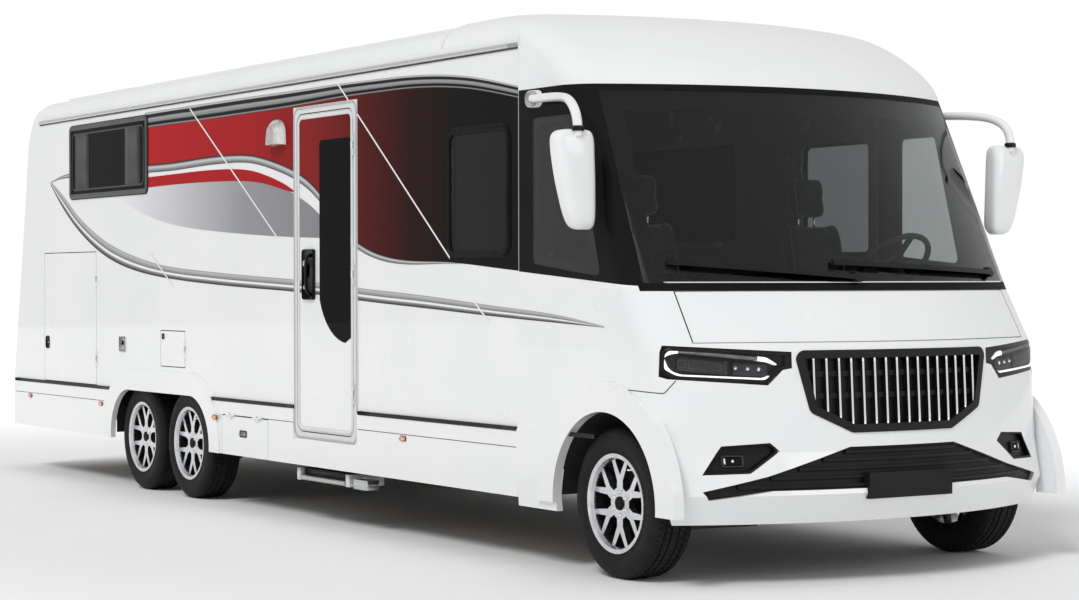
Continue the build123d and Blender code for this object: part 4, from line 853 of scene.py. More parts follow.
fogLook = {"outline": [(0.966, 0.672), (1.048, 0.545), (0.842, 0.550), (0.698, 0.648), (0.738, 0.684)],
           "unit": [(0.858, 0.579), (0.951, 0.579), (0.951, 0.627), (0.858, 0.627)]}


def fogLamp(name, side):
    look = fogLook
    place = frontSide(side)
    rim = resampled(rounded(look["outline"], 0.02, 4, True), 0.03, True)
    unit = resampled(rounded(look["unit"], 0.008, 4, True), 0.012, True)
    addPiece(f"fogRim_{name}", *ribbon(rim, 0.010, -0.003, 0.028, place, True, 0.002), blackPlastic, "coach",
             "black_trim")
    addPiece(f"fogFrame_{name}", *ribbon(unit, 0.007, -0.016, 0.018, place, True, 0.001), greyPlastic,
             "coach",
             "black_trim")
    a = np.linspace(0.860, 0.949, 8)
    addPiece(f"fogLens_{name}", *panelOnFront(side * a, np.full(8, 0.581), np.full(8, 0.625), -0.022, 0.008,
                                              5),
             blackGloss, "coach", "lamp_glass")
    # painted glint: a narrow upright strip of the glowing reflector finish on the fog lens stands in for a
    # highlight
    a = np.linspace(0.936, 0.943, 3)
    paintedGlint = panelOnFront(side * a, np.full(3, 0.588), np.full(3, 0.618), -0.020, 0.006, 4)
    eye = turned([(0.0, 0.005), (0.006, 0.004), (0.008, 0.0), (0.008, -0.004)], place(0.902, 0.603, -0.022),
                 (1, 0.3 * side, 0), 18)
    addPiece(f"fogEyeAndGlint_{name}", *joined([paintedGlint, eye]), reflectorPaintedSheen, "coach", "lamp_glass")


for sideName, sideValue in sides.items():
    headlamp(sideName, sideValue)
    fogLamp(sideName, sideValue)
print("lamps and grille")


# Tyres, bolts and caps.
wheelMiddle = 1.0625        # distance of a wheel's middle plane from the vehicle's
wheelAxles = {"front": 3.810, "mid": -1.330, "rear": -2.135}
wheelZ = 0.370
boltLook = {"face": 0.0835, "nuts": 6, "nutCircle": 0.056, "valveCircle": 0.196, "valveAt": 1.05,
            "valveOut": 0.006}
tyreLook = {
    "side": [(0.2303, 0.1055), (0.2453, 0.1055), (0.2500, 0.1085), (0.2600, 0.1110), (0.2640, 0.1122),
             (0.2670, 0.1112),
             (0.2860, 0.1160), (0.3020, 0.1175), (0.3180, 0.1166), (0.3210, 0.1172), (0.3250, 0.1155),
             (0.3400, 0.1110),
             (0.3500, 0.1055), (0.3585, 0.0985), (0.3650, 0.0900)],
    "ribs": [(0.0860, 0.0640), (0.0540, 0.0270), (0.0175, -0.0175), (-0.0270, -0.0540), (-0.0640, -0.0860)],
    "radius": 0.370, "groove": 0.008, "slope": 0.0006, "notch": 0.0055, "pitches": 70, "crown": 0.0022,
}


def tyreShape(side, axle):
    # profile turned about the axle; its radius drops in the grooves between ribs and, rib by rib, in
    # every fourth step
    look = tyreLook
    sidewall = np.array(look["side"])
    radius = list(sidewall[:, 0])
    along = list(sidewall[:, 1])
    cut = [0.0] * (len(radius) - 2) + [0.5, 1.0]
    shift = [0] * len(radius)
    for index, (start, end) in enumerate(look["ribs"]):
        for offAxis in (start, (start + end) / 2, end):
            radius.append(look["radius"] - look["crown"] * (offAxis / look["ribs"][0][0]) ** 2)
            along.append(offAxis)
            cut.append(1.0 if index != 2 else 0.55)
            shift.append((0, 1, 2, 3, 0)[index])
        if index < 4:
            after = look["ribs"][index + 1][0]
            for offAxis in (end - look["slope"], after + look["slope"]):
                radius.append(look["radius"] - look["groove"])
                along.append(offAxis)
                cut.append(0.0)
                shift.append(0)
    radius += list(sidewall[::-1, 0])
    along += list(-sidewall[::-1, 1])
    cut += [1.0, 0.5] + [0.0] * (len(sidewall) - 2)
    shift += [0] * len(sidewall)
    radius, along, cut, shift = (np.array(v) for v in (radius, along, cut, shift))
    steps = look["pitches"] * 4
    step = np.arange(steps)[:, None]
    lean = (along / 0.0045).astype(int)[None]
    notch = ((step + shift[None] + lean) % 4 == 0) * cut[None] * look["notch"]
    angle = step * 2 * math.pi / steps
    reach = radius[None] - notch
    points = np.stack([axle + reach * np.cos(angle), np.broadcast_to(side * (wheelMiddle + along[None]),
            reach.shape),
                       wheelZ + reach * np.sin(angle)], axis=-1)
    return points.reshape(-1, 3), gridQuads(steps, len(radius), True, True)


def wheelBolts(side, axle):
    # six domed nuts on a circle, a plain cap in the middle and a valve by the rim
    look = boltLook
    parts = []
    face = wheelMiddle + look["face"]
    for turn in (np.arange(look["nuts"]) + 0.5) * 2 * math.pi / look["nuts"]:
        reach = look["nutCircle"]
        centre = (axle + reach * math.cos(turn), side * face, wheelZ + reach * math.sin(turn))
        parts.append(turned([(0.0, 0.014), (0.006, 0.013), (0.0085, 0.010), (0.0095, 0.0), (0.0125, -0.001),
                             (0.0125, -0.004)], centre, (0, side, 0), 12))
    reach, turn = look["valveCircle"], look["valveAt"]
    valve = (axle + reach * math.cos(turn), side * (face + look["valveOut"]),
             wheelZ + reach * math.sin(turn))
    parts.append(turned([(0.0, 0.018), (0.004, 0.017), (0.0045, -0.03)], valve, (0, side, 0), 10))
    return joined(parts)


def wheelCap(side, axle):
    centre = (axle, side * (wheelMiddle + boltLook["face"]), wheelZ)
    return turned([(0.0, 0.0100), (0.016, 0.0095), (0.026, 0.0075), (0.029, 0.0085), (0.032, 0.0080),
                   (0.034, 0.004),
                   (0.034, -0.004)], centre, (0, side, 0), 40)


for axleName, axleX in wheelAxles.items():
    for sideName, sideValue in sides.items():
        wheelBody = f"wheel_{axleName}_{sideName}"
        tyre = addPiece(f"tyreTread_{axleName}_{sideName}", *tyreShape(sideValue, axleX), tyreRubber,
                        wheelBody, "tyre",
                        smooth=False)
        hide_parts(f"tyre_{axleName}_{sideName}")
        addPiece(f"wheelBolts_{axleName}_{sideName}", *wheelBolts(sideValue, axleX), chrome, wheelBody,
                 "bright_trim")
        addPiece(f"wheelCap_{axleName}_{sideName}", *wheelCap(sideValue, axleX), blackGloss, wheelBody,
                 "black_trim")
print("wheels")


# Windows, doors and trim on the sides.
def onWall(side, face):
    # place(u, v, out) on a flat side, where u is X, v is Z and out is counted from the face
    def place(u, v, out):
        u, v, out = np.broadcast_arrays(np.asarray(u, float), v, out)
        return np.stack([u, side * (face + out), v], axis=-1)
    return place


def loopOf(back, front, low, high, corner, shrink=0.0):
    # rectangle with round corners as a closed path, drawn in by shrink
    outline, normals = roundOutline(front - back, high - low, corner)
    middle = np.array([(back + front) / 2, (low + high) / 2])
    return outline - normals * shrink + middle


def frameRing(back, front, low, high, corner, place, width, out, deep, shrink=0.0, crown=0.0):
    return ribbon(loopOf(back, front, low, high, corner, shrink), width, out, deep, place, True, crown)


def plateOn(back, front, low, high, corner, place, out, deep):
    # a plate with round corners: its outline at both depths, rounded over at the outer edge
    layers = []
    for shrink, level in ((0.0, out - deep), (0.0, out - 0.003), (0.0012, out - 0.0008), (0.004, out)):
        loop = loopOf(back, front, low, high, corner, shrink)
        layers.append(place(loop[:, 0], loop[:, 1], level))
    around = len(layers[0])
    faces = gridQuads(4, around, False, True).tolist()
    faces += [list(range(around))[::-1], list(range(3 * around, 4 * around))]
    return np.concatenate(layers), faces


# Ends along X, heights, corner and sides of each framed window of the body.
houseWindows = {
    "rear": (-3.370, -1.910, 2.085, 2.600, 0.028, ("right", "left")),
    "cab": (2.284, 2.905, 1.600, 2.265, 0.060, ("right", "left")),
    "lounge": (0.400, 1.640, 1.700, 2.300, 0.060, ("left",)),
}
windowLook = {"proud": 0.0045, "frame": 0.034, "step": 0.006}


def houseWindow(name, sideName):
    back, front, low, high, corner, _ = houseWindows[name]
    look = windowLook
    place = onWall(sides[sideName], wallY)
    addPiece(f"windowFrame_{name}_{sideName}", *frameRing(back, front, low, high, corner, place,
                                                          look["frame"],
             look["proud"] + look["step"], look["step"] + 0.004, look["frame"] / 2 - 0.012, 0.003),
             blackGloss if name == "cab" else frameGrey, "coach", "black_trim")
    addPiece(f"windowSeal_{name}_{sideName}", *frameRing(back, front, low, high, corner, place, 0.008,
                                                         0.0035, 0.003,
             -0.014), sealRubber, "coach", "black_trim")
    if name == "cab":
        return
    inner = 0.052
    parts = [frameRing(back + inner, front - inner, low + inner, high - inner, 0.04, place, 0.012,
                       look["proud"] + 0.003,
                       0.002, 0, 0.001)]
    for share in (0.14, 0.85):
        x = back + inner + (front - back - 2 * inner) * share
        bar = np.array([(x, low + inner), (x, (low + high) / 2), (x, high - inner)])
        parts.append(ribbon(bar, (front - back) * 0.19, look["proud"] + 0.0012, 0.0008, place, False, 0.0))
    addPiece(f"windowBars_{name}_{sideName}", *joined(parts), greyPlastic, "coach", "black_trim")


for name, row in houseWindows.items():
    for sideName in row[-1]:
        houseWindow(name, sideName)

# Ends along X, heights, corner, side, body and face of each lid, at the middle of the gap round it.
lids = {
    "garageRight": (-3.937, -2.873, 0.708, 1.677, 0.014, "right", "garage_door_right", wallY),
    "garageLeft": (-3.937, -2.873, 0.708, 1.677, 0.014, "left", "garage_door_left", wallY),
    "serviceFlap": (-1.687, -1.273, 0.881, 1.125, 0.014, "right", "service_flap", wallY),
}
for name, (back, front, low, high, corner, sideName, body, face) in lids.items():
    place = onWall(sides[sideName], face)
    addPiece(f"lidSeal_{name}", *frameRing(back, front, low, high, corner, place, 0.0056, -0.0035, 0.010),
             sealRubber,
             "coach", "black_trim")

doorLook = {"back": 0.432, "front": 1.178, "low": 0.547, "high": 2.473, "corner": 0.070, "face": 1.228}
doorSeal = frameRing(doorLook["back"] + 0.003, doorLook["front"] - 0.003, doorLook["low"] + 0.003,
                     doorLook["high"] - 0.003, 0.069, onWall(-1, doorLook["face"]), 0.0056, -0.004, 0.012)
addPiece("doorSeal", *doorSeal, sealRubber, "coach", "black_trim")
doorEdge = frameRing(0.441, 1.169, 0.556, 2.464, 0.063, onWall(-1, doorLook["face"]), 0.026, 0.0035, 0.0025,
                     0.0145,
                     0.0025)
addPiece("doorEdge", *doorEdge, palePaint, "entrance_door", "silver_frame")
doorBead = frameRing(0.394, 1.216, 0.509, 2.511, 0.060, onWall(-1, 1.231), 0.010, 0.003, 0.003, 0.006, 0.002)
addPiece("doorBead", *doorBead, silver, "coach", "silver_frame")

handleLook = {"back": 0.520, "front": 0.677, "low": 1.348, "high": 1.652}


def doorHandle():
    # a dark plate over the leaf's boss, an upright grip on two posts and a round lock
    look = handleLook
    face = doorLook["face"]
    place = onWall(-1, face)
    middle = (look["back"] + look["front"]) / 2
    plate = plateOn(look["back"], look["front"], look["low"], look["high"], 0.022, place, 0.0175, 0.017)
    addPiece("handlePlate", *plate, blackGloss, "entrance_door", "black_trim")
    z = np.linspace(look["low"] + 0.035, look["high"] - 0.035, 25)
    bow = 0.030 * np.sqrt(np.clip(1 - ((z - z.mean()) / (z[-1] - z.mean())) ** 4, 0, 1))
    grip = np.stack([np.full_like(z, middle + 0.030), -(face + 0.012 + bow), z], axis=-1)
    addPiece("handleGrip", *tube(grip, 0.0095, 14), blackPlastic, "entrance_door", "black_trim")
    lock = turned([(0.0, 0.004), (0.010, 0.0035), (0.012, 0.002), (0.012, -0.004)],
                  (middle - 0.036, -(face + 0.0175), look["low"] + 0.075), (0, -1, 0), 24)
    key = turned([(0.0, 0.004), (0.016, 0.0035), (0.019, 0.0015), (0.019, -0.004)],
                 (middle - 0.036, -(face + 0.0175), look["high"] - 0.085), (0, -1, 0), 28)
    addPiece("handleLocks", *joined([lock, key]), silver, "entrance_door", "silver_frame")


doorHandle()

# Middle and half size of each small lock or latch, with its side, body and face.
latches = {
    "garageRight": (-3.872, 1.000, 0.040, 0.048, "right", "garage_door_right", wallY),
    "garageLeft": (-3.872, 1.000, 0.040, 0.048, "left", "garage_door_left", wallY),
    "serviceFlap": (-1.640, 1.085, 0.020, 0.020, "right", "service_flap", wallY),
    "locker": (-0.330, 0.488, 0.052, 0.022, "right", "skirt_flap", 1.237),
}
for name, (x, z, halfX, halfZ, sideName, body, face) in latches.items():
    place = onWall(sides[sideName], face)
    corner = min(halfX, halfZ) * 0.55
    finish = greyPlastic if name == "locker" else blackPlastic
    addPiece(f"latchCup_{name}", *frameRing(x - halfX, x + halfX, z - halfZ, z + halfZ, corner, place, 0.008,
                                            0.0035,
             0.0030, 0.004, 0.002), finish, body, "black_trim")
    addPiece(f"latchPaddle_{name}", *plateOn(x - halfX + 0.007, x + halfX - 0.007, z - halfZ + 0.007,
                                             z + halfZ - 0.007,
             corner * 0.6, place, 0.0022, 0.0018), palePaint if name == "locker" else finish, body,
             "black_trim")
    turn = turned([(0.0, 0.002), (0.006, 0.0018), (0.007, 0.001), (0.007, -0.002)],
                  (x + halfX * 0.35, sides[sideName] * (face + 0.0022), z), (0, sides[sideName], 0), 16)
    addPiece(f"latchKey_{name}", *turn, silver, body, "silver_frame")

# Small covers let into the wall: ends along X and heights.
covers = {"socket": (-2.430, -2.300, 0.960, 1.075, "right"), "water": (-0.62, -0.46, 1.30, 1.46, "left"),
          "flue": (2.00, 2.13, 0.98, 1.11, "left")}
for name, (back, front, low, high, sideName) in covers.items():
    place = onWall(sides[sideName], wallY)
    addPiece(f"cover_{name}", *plateOn(back, front, low, high, 0.016, place, 0.007, 0.0065), paint, "coach",
             "white_body")
    addPiece(f"coverRing_{name}", *frameRing(back + 0.016, front - 0.016, low + 0.016, high - 0.016, 0.010,
                                             place, 0.003,
             0.0076, 0.001), greyPlastic, "coach", "black_trim")

# Stretches along X of the dark strip where the skirts meet the wall, and of the painted shade line that
# stands for the groove below it.
waistRuns = {"right": [(-4.560, -2.590), (-0.890, 0.395), (1.235, 2.990)],
             "left": [(-4.560, -2.590), (-0.890, 2.990)]}
grooveShadeRuns = {"right": [(-4.560, -2.700), (-0.640, 0.395), (1.235, 2.990)],
              "left": [(-4.560, -2.700), (-0.640, 2.990)]}


def strips(runs, low, high, face, out, deep, crown=0.0):
    parts = []
    for sideName in sides:
        for back, front in runs[sideName]:
            line = np.stack([np.linspace(back, front, 12), np.full(12, (low + high) / 2)], axis=-1)
            parts.append(ribbon(line, high - low, out, deep, onWall(sides[sideName], face), False, crown))
    return joined(parts)


addPiece("waistStrip", *strips(waistRuns, 0.684, 0.706, wallY, 0.0150, 0.0140, 0.002), blackPlastic, "coach",
         "black_trim")
# painted shade: a thin dark strip laid on the skirt where the groove's shade falls
addPiece("skirtGrooveShade", *strips(grooveShadeRuns, 0.598, 0.602, 1.237, 0.0006, 0.0005), greyPlastic, "coach",
         "black_trim")
noseStrip = []
for sideValue in sides.values():
    path = np.stack([np.linspace(1.75, 2.03, 14), np.full(14, 0.695)], axis=-1)
    noseStrip.append(ribbon(path, 0.022, 0.003, 0.004, frontSide(sideValue), False,
                            0.001))
addPiece("waistStripNose", *joined(noseStrip), blackPlastic, "coach", "black_trim")

# Places along X of the side markers, and how far out their panel is.
markers = [(-4.220, 1.237), (-2.755, 1.237), (-0.740, 1.250), (1.780, 1.237)]
bases = []
domes = []
for sideValue in sides.values():
    for x, face in markers:
        place = onWall(sideValue, face)
        bases.append(plateOn(x - 0.036, x + 0.036, 0.562, 0.592, 0.010, place, 0.004, 0.0035))
        domes.append(plateOn(x - 0.031, x + 0.031, 0.566, 0.588, 0.009, place, 0.0125, 0.0095))
addPiece("markerBases", *joined(bases), blackPlastic, "coach", "black_trim")
addPiece("markerLenses", *joined(domes), amberLens, "coach", "red_lens")

porchLook = {"x": 0.172, "low": 2.298, "high": 2.462, "halfWidth": 0.105, "out": 0.075}


def porchLamp():
    # half a dome against the wall: its width and depth grow from nothing at the top and flare a little
    # at the foot
    look = porchLook
    v = np.linspace(0, 1, 22)
    swell = np.sqrt(1 - (1 - np.clip(v * 1.9, 0, 1)) ** 2) * (0.86 + 0.14 * v)
    angle = np.linspace(0, math.pi, 25)
    x = look["x"] + look["halfWidth"] * swell[:, None] * np.cos(angle)
    y = -(wallY + 0.001 + look["out"] * swell[:, None] * np.sin(angle) ** 0.8)
    z = np.broadcast_to((look["high"] - (look["high"] - look["low"]) * v)[:, None], x.shape)
    points = np.stack([x, y, z], axis=-1).reshape(-1, 3)
    faces = gridQuads(22, 25, False, True).tolist() + [list(range(25))[::-1], list(range(21 * 25, 22 * 25))]
    addPiece("porchLamp", points, faces, milkLens, "coach", "roof_light")


porchLamp()

# Rail under the roof edge, on both sides.
railPath = np.stack([np.linspace(-4.02, 2.995, 60), np.full(60, 2.676)], axis=-1)
railProfile = joined([ribbon(railPath, 0.022, 0.010, 0.009, onWall(s, wallY), False, 0.003)
                      for s in sides.values()])
addPiece("roofRail", *railProfile, silver, "coach", "silver_frame")
railLip = joined([ribbon(railPath + np.array([0, -0.016]), 0.007, 0.006, 0.005, onWall(s, wallY))
                  for s in sides.values()])
addPiece("roofRailLip", *railLip, greyPlastic, "coach", "black_trim")
print("side trim")


# Mirrors.
mirrorLook = {
    # Columns: height, distance from the middle, half width across, half depth along X.
    "sections": [(1.706, 1.352, 0.034, 0.026), (1.722, 1.358, 0.058, 0.042), (1.760, 1.366, 0.074, 0.052),
                 (1.850, 1.380, 0.089, 0.058), (1.950, 1.393, 0.101, 0.062), (2.050, 1.404, 0.108, 0.064),
                 (2.120, 1.409, 0.111, 0.063), (2.160, 1.409, 0.106, 0.058), (2.182, 1.405, 0.088, 0.047),
                 (2.1895, 1.400, 0.060, 0.032)],
    "x": 3.790, "square": 3.4,
    "arm": [(3.172, 1.222, 2.386), (3.230, 1.285, 2.378), (3.420, 1.322, 2.372), (3.640, 1.362, 2.356),
            (3.760, 1.394, 2.322), (3.822, 1.405, 2.262), (3.838, 1.405, 2.190), (3.838, 1.405, 2.150)],
    "armRadius": [0.030, 0.024, 0.0225, 0.0225, 0.0235, 0.0238, 0.0235, 0.0235],
}


def mirrorHousing(side, scale, moved, cut):
    # superellipses stacked up the height: |x/depth|^n + |y/width|^n = 1; cut flattens the rear half
    look = mirrorLook
    rows = smoothLine(np.array(look["sections"]), 44)
    angle = np.linspace(0, 2 * math.pi, 56, endpoint=False)
    c, s = np.cos(angle), np.sin(angle)
    power = 2 / look["square"]
    x = look["x"] + moved + rows[:, 3:4] * scale * np.sign(c) * np.abs(c) ** power
    x = np.clip(x, look["x"] + cut[0], look["x"] + cut[1])
    y = side * (rows[:, 1:2] + rows[:, 2:3] * scale * np.sign(s) * np.abs(s) ** power)
    middle = rows[:, 0].mean()
    z = np.broadcast_to(middle + (rows[:, :1] - middle) * (1 - (1 - scale) * 0.4), x.shape)
    points = np.stack([x, y, z], axis=-1).reshape(-1, 3)
    faces = gridQuads(44, 56, False, True).tolist() + [list(range(56)), list(range(43 * 56, 44 * 56))[::-1]]
    return points, faces


for sideName, sideValue in sides.items():
    shell = addPiece(f"mirrorShell_{sideName}", *mirrorHousing(sideValue, 1.0, 0.0, (-0.030, 0.1)), paint,
                     "coach",
                     "white_body")
    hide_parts("mirrors")
    addPiece(f"mirrorBack_{sideName}", *mirrorHousing(sideValue, 0.94, -0.004, (-0.058, -0.010)),
             blackPlastic, "coach",
             "black_trim")
    addPiece(f"mirrorGlass_{sideName}", *mirrorHousing(sideValue, 0.80, -0.012, (-0.0605, -0.050)), chrome,
             "coach",
             "bright_trim")
    arm = smoothLine(np.column_stack([np.array(mirrorLook["arm"]) * (1, sideValue, 1),
                                      mirrorLook["armRadius"]]), 60)
    addPiece(f"mirrorArm_{sideName}", *tube(arm[:, :3], arm[:, 3], 20), paint, "coach", "white_body")
    addPiece(f"mirrorFoot_{sideName}", *plateOn(3.105, 3.235, 2.342, 2.428, 0.040, onWall(sideValue, 1.2235),
                                                0.030, 0.028),
             paint, "coach", "white_body")
    collar = turned([(0.0, 0.016), (0.026, 0.015), (0.031, 0.009), (0.031, -0.010), (0.0, -0.012)],
                    (3.838, sideValue * 1.405, 2.190), (0, 0, 1), 28)
    addPiece(f"mirrorCollar_{sideName}", *collar, blackPlastic, "coach", "black_trim")
print("mirrors")


# Front seats.
# Side outline in X and Z, half width, most a point may swell, rise of the side rolls, places of the
# sewn channels.
seatPads = {
    "cushion": ([(3.240, 1.002), (3.772, 1.002), (3.765, 1.128), (3.700, 1.140), (3.245, 1.116)],
                0.232, 0.014, 0.26, (-0.13, -0.02, 0.09), 0.05),
    "back": ([(3.222, 1.140), (3.332, 1.140), (3.190, 1.774), (3.120, 1.774)],
             0.222, 0.014, 0.30, (-0.17, -0.02, 0.13), 0.16),
    "headrest": ([(3.108, 1.800), (3.170, 1.800), (3.148, 2.018), (3.086, 2.018)],
                 0.122, 0.010, 0.10, (), 0.30),
}
seatLook = {"middle": 0.56, "voxel": 0.006, "pressure": 4.0, "frames": 20, "restsAt": 1.0005,
            "piping": 0.0034,
            "channel": (0.006, 0.009), "seamAt": 0.80}


def padGrid(name, across):
    # an outline pressed flat towards both sides: its thickness falls as (1 - |s|^3)^0.45 from the
    # middle outward,
    # rolls swell the upper face near the sides, and length and width draw in between the corners
    outline, half, _, roll, _, rounding = seatPads[name]
    loop = resampled(rounded(outline, 0.045, 8, True), 0.010, True)
    middle = loop.mean(axis=0)
    run = np.linalg.svd(loop - middle)[2][0]
    rise = np.array([-run[1], run[0]])
    rise *= np.sign(rise.sum())
    along = (loop - middle) @ run
    off = (loop - middle) @ rise
    s = np.asarray(across, float)[:, None]
    rolled = 1 + roll * np.exp(-((np.abs(s) - 0.76) / 0.16) ** 2)
    upper = (1 - np.abs(s) ** 3) ** 0.45 * rolled
    lower = (1 - s ** 6) ** 0.5
    thick = np.where(off[None] > 0, upper, lower) * off[None]
    length = along[None] * (1 - 0.03 * (1 - s ** 4)) * (1 - 0.05 * s ** 12)
    share = (along / np.abs(along).max())[None]
    width = half * s * (1 - 0.045 * (1 - share ** 4) - rounding * share ** 6)
    flat = middle + length[..., None] * run + thick[..., None] * rise
    return np.stack([flat[..., 0], np.broadcast_to(width, flat.shape[:2]), flat[..., 1]],
                    axis=-1), run, rise, middle


def meshPoints(mesh):
    points = np.empty(len(mesh.vertices) * 3)
    mesh.vertices.foreach_get("co", points)
    return points.reshape(-1, 3)


def evaluated(piece):
    return bpy.data.meshes.new_from_object(piece.evaluated_get(bpy.context.evaluated_depsgraph_get()))


def swelled(points, faces, cap):
    # remeshed in small cubes, then cloth blown up from within, each point held within the cap of where
    # it started
    look = seatLook
    mesh = bpy.data.meshes.new("padStart")
    mesh.from_pydata(points.tolist(), [], [list(map(int, face)) for face in faces])
    form = bpy.data.objects.new("padStart", mesh)
    bpy.context.scene.collection.objects.link(form)
    remesh = form.modifiers.new("Remesh", "REMESH")
    remesh.mode = "VOXEL"
    remesh.voxel_size = look["voxel"]
    form.data = evaluated(form)
    form.modifiers.clear()
    start = meshPoints(form.data)
    end = start
    pressed = form.modifiers.new("Cloth", "CLOTH")
    pressed.settings.use_pressure = True
    pressed.settings.uniform_pressure_force = look["pressure"]
    pressed.settings.effector_weights.gravity = 0
    for step in range(1, look["frames"] + 1):
        bpy.context.scene.frame_set(step)
    end = meshPoints(evaluated(form))
    bpy.context.scene.frame_set(1)
    move = end - start
    far = np.linalg.norm(move, axis=1, keepdims=True)
    quads = [list(face.vertices) for face in form.data.polygons]
    bpy.data.objects.remove(form)
    return start + move * np.minimum(1, cap / np.maximum(far, 1e-9)), np.array(quads)


def evened(points, quads, rounds):
    # each point moved half way to the mean of its neighbours along the edges, a few times
    a = quads.ravel()
    b = np.roll(quads, -1, axis=1).ravel()
    count = np.bincount(a, minlength=len(points)) + np.bincount(b, minlength=len(points))
    for _ in range(rounds):
        total = np.zeros_like(points)
        np.add.at(total, a, points[b])
        np.add.at(total, b, points[a])
        points = (points + total / count[:, None]) / 2
    return points


def seatPad(name):
    # the pad at the vehicle's middle: its points and faces, and the two runs of piping on its side seams
    _, half, cap, _, channels, _ = seatPads[name]
    grid, run, rise, middle = padGrid(name, np.sin(np.linspace(-1, 1, 41) * 1.45) / math.sin(1.45) * 0.99)
    rows, columns = grid.shape[:2]
    faces = gridQuads(rows, columns, False, True).tolist()
    faces += [list(range(columns))[::-1], list(range((rows - 1) * columns, rows * columns))]
    if enclosedVolume(grid.reshape(-1, 3) - grid.reshape(-1, 3).mean(axis=0), faces) < 0:
        faces = [face[::-1] for face in faces]
    points, quads = swelled(grid.reshape(-1, 3), faces, cap)
    points = evened(points, quads, 2)
    place = points[:, ::2] - middle
    along = place @ run
    off = place @ rise
    deep, wide = seatLook["channel"]
    inside = np.clip((0.72 - np.abs(points[:, 1]) / half) * 12, 0, 1) * np.clip(off / 0.02, 0, 1)
    for channel in channels:
        press = deep * np.exp(-((along - channel * np.sign(run.sum())) / wide) ** 2) * inside
        points[:, ::2] -= press[:, None] * rise
    if name == "cushion":
        points[:, 2] = np.maximum(points[:, 2], seatLook["restsAt"])
    piping = []
    for s in (-1, 1):
        seam = padGrid(name, [s * seatLook["seamAt"]])[0][0]
        near = points[((seam[:, None] - points[None]) ** 2).sum(axis=2).argmin(axis=1)]
        for _ in range(4):
            near = (np.roll(near, 1, axis=0) + 2 * near + np.roll(near, -1, axis=0)) / 4
        piping.append(tube(near, seatLook["piping"], 8, True))
    return points, quads, piping


seatParts = {name: seatPad(name) for name in seatPads}
for sideName, sideValue in sides.items():
    shift = np.array([0, sideValue * seatLook["middle"], 0])
    for name, (points, quads, piping) in seatParts.items():
        pad = addPiece(f"seat_{name}_{sideName}", points + shift, quads, seatCloth, "coach", "seat_cover")
        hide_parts("front_seats")
        seams = [(p + shift, f) for p, f in piping]
        addPiece(f"seatPiping_{name}_{sideName}", *joined(seams), pipingCloth, "coach", "seat_cover")
    posts = [tube([(3.128, side, 1.74), (3.124, side, 1.77), (3.130, side, 1.83)], 0.006, 14)
             for side in (shift[1] - 0.055, shift[1] + 0.055)]
    addPiece(f"seatPosts_{sideName}", *joined(posts), chrome, "coach", "bright_trim")
print("front seats")


# Seams, sensor and small parts at the front.
def seamOnNose(name, path, width):
    for sideName, sideValue in sides.items():
        line = resampled(rounded(path, 0.012, 4), 0.02)
        addPiece(f"{name}_{sideName}", *ribbon(line, width, 0.0007, 0.0006,
                 frontSide(sideValue), False, 0.0, 3), greyPlastic, "coach", "black_trim")


seamOnNose("noseSeam", [(1.148, 0.986), (1.207, 0.924), (1.345, 0.932), (1.510, 0.936)], 0.0045)
a = np.linspace(-1.212, 1.212, 90)
addPiece("scuttleBand", *panelOnFront(a, np.full(90, 1.4085), np.full(90, 1.449), 0.0016, 0.0013),
         blackGloss, "coach",
         "black_trim")
a = np.linspace(-1.085, 1.085, 80)
addPiece("screenTrim", *panelOnFront(a, np.full(80, 1.4475), np.full(80, 1.4535), 0.0042, 0.0038, 4), chrome,
         "coach",
         "bright_trim")
bonnetSeals = [ribbon(resampled([(s * 1.0525, 1.4055), (s * 1.0525, 1.168)], 0.02), 0.0072, -0.0008, 0.010,
                      onFront)
               for s in (-1, 1)]
addPiece("bonnetSeals", *joined(bonnetSeals), sealRubber, "coach", "black_trim")
addPiece("screenSensor", *panelOnFront(np.linspace(-0.150, 0.060, 10), np.full(10, 2.312),
                                       np.full(10, 2.392), -0.010,
         0.028, 6), blackPlastic, "coach", "black_trim")
print("front details")


# Pull-out step under the door.
stepLook = {"ends": (0.352, 1.040), "endWidth": 0.046, "low": 0.247, "top": 0.3195, "face": 1.196,
            "depth": 0.240,
            "bracket": (1.090, 1.262, 0.243, 0.2995)}


def box(x, y, z, corner=0.004):
    # a block with its upright edges rounded, from its ends along each axis
    outline, normals = roundOutline(x[1] - x[0], y[1] - y[0], corner, 4)
    middle = np.array([(x[0] + x[1]) / 2, (y[0] + y[1]) / 2])
    layers = []
    for shrink, level in ((0.002, z[0]), (0.0, z[0] + 0.002), (0.0, z[1] - 0.002), (0.002, z[1])):
        loop = outline - normals * shrink + middle
        layers.append(np.column_stack([loop, np.full(len(loop), level)]))
    around = len(outline)
    faces = gridQuads(4, around, False, True).tolist()
    faces += [list(range(around))[::-1], list(range(3 * around, 4 * around))]
    return np.concatenate(layers), faces


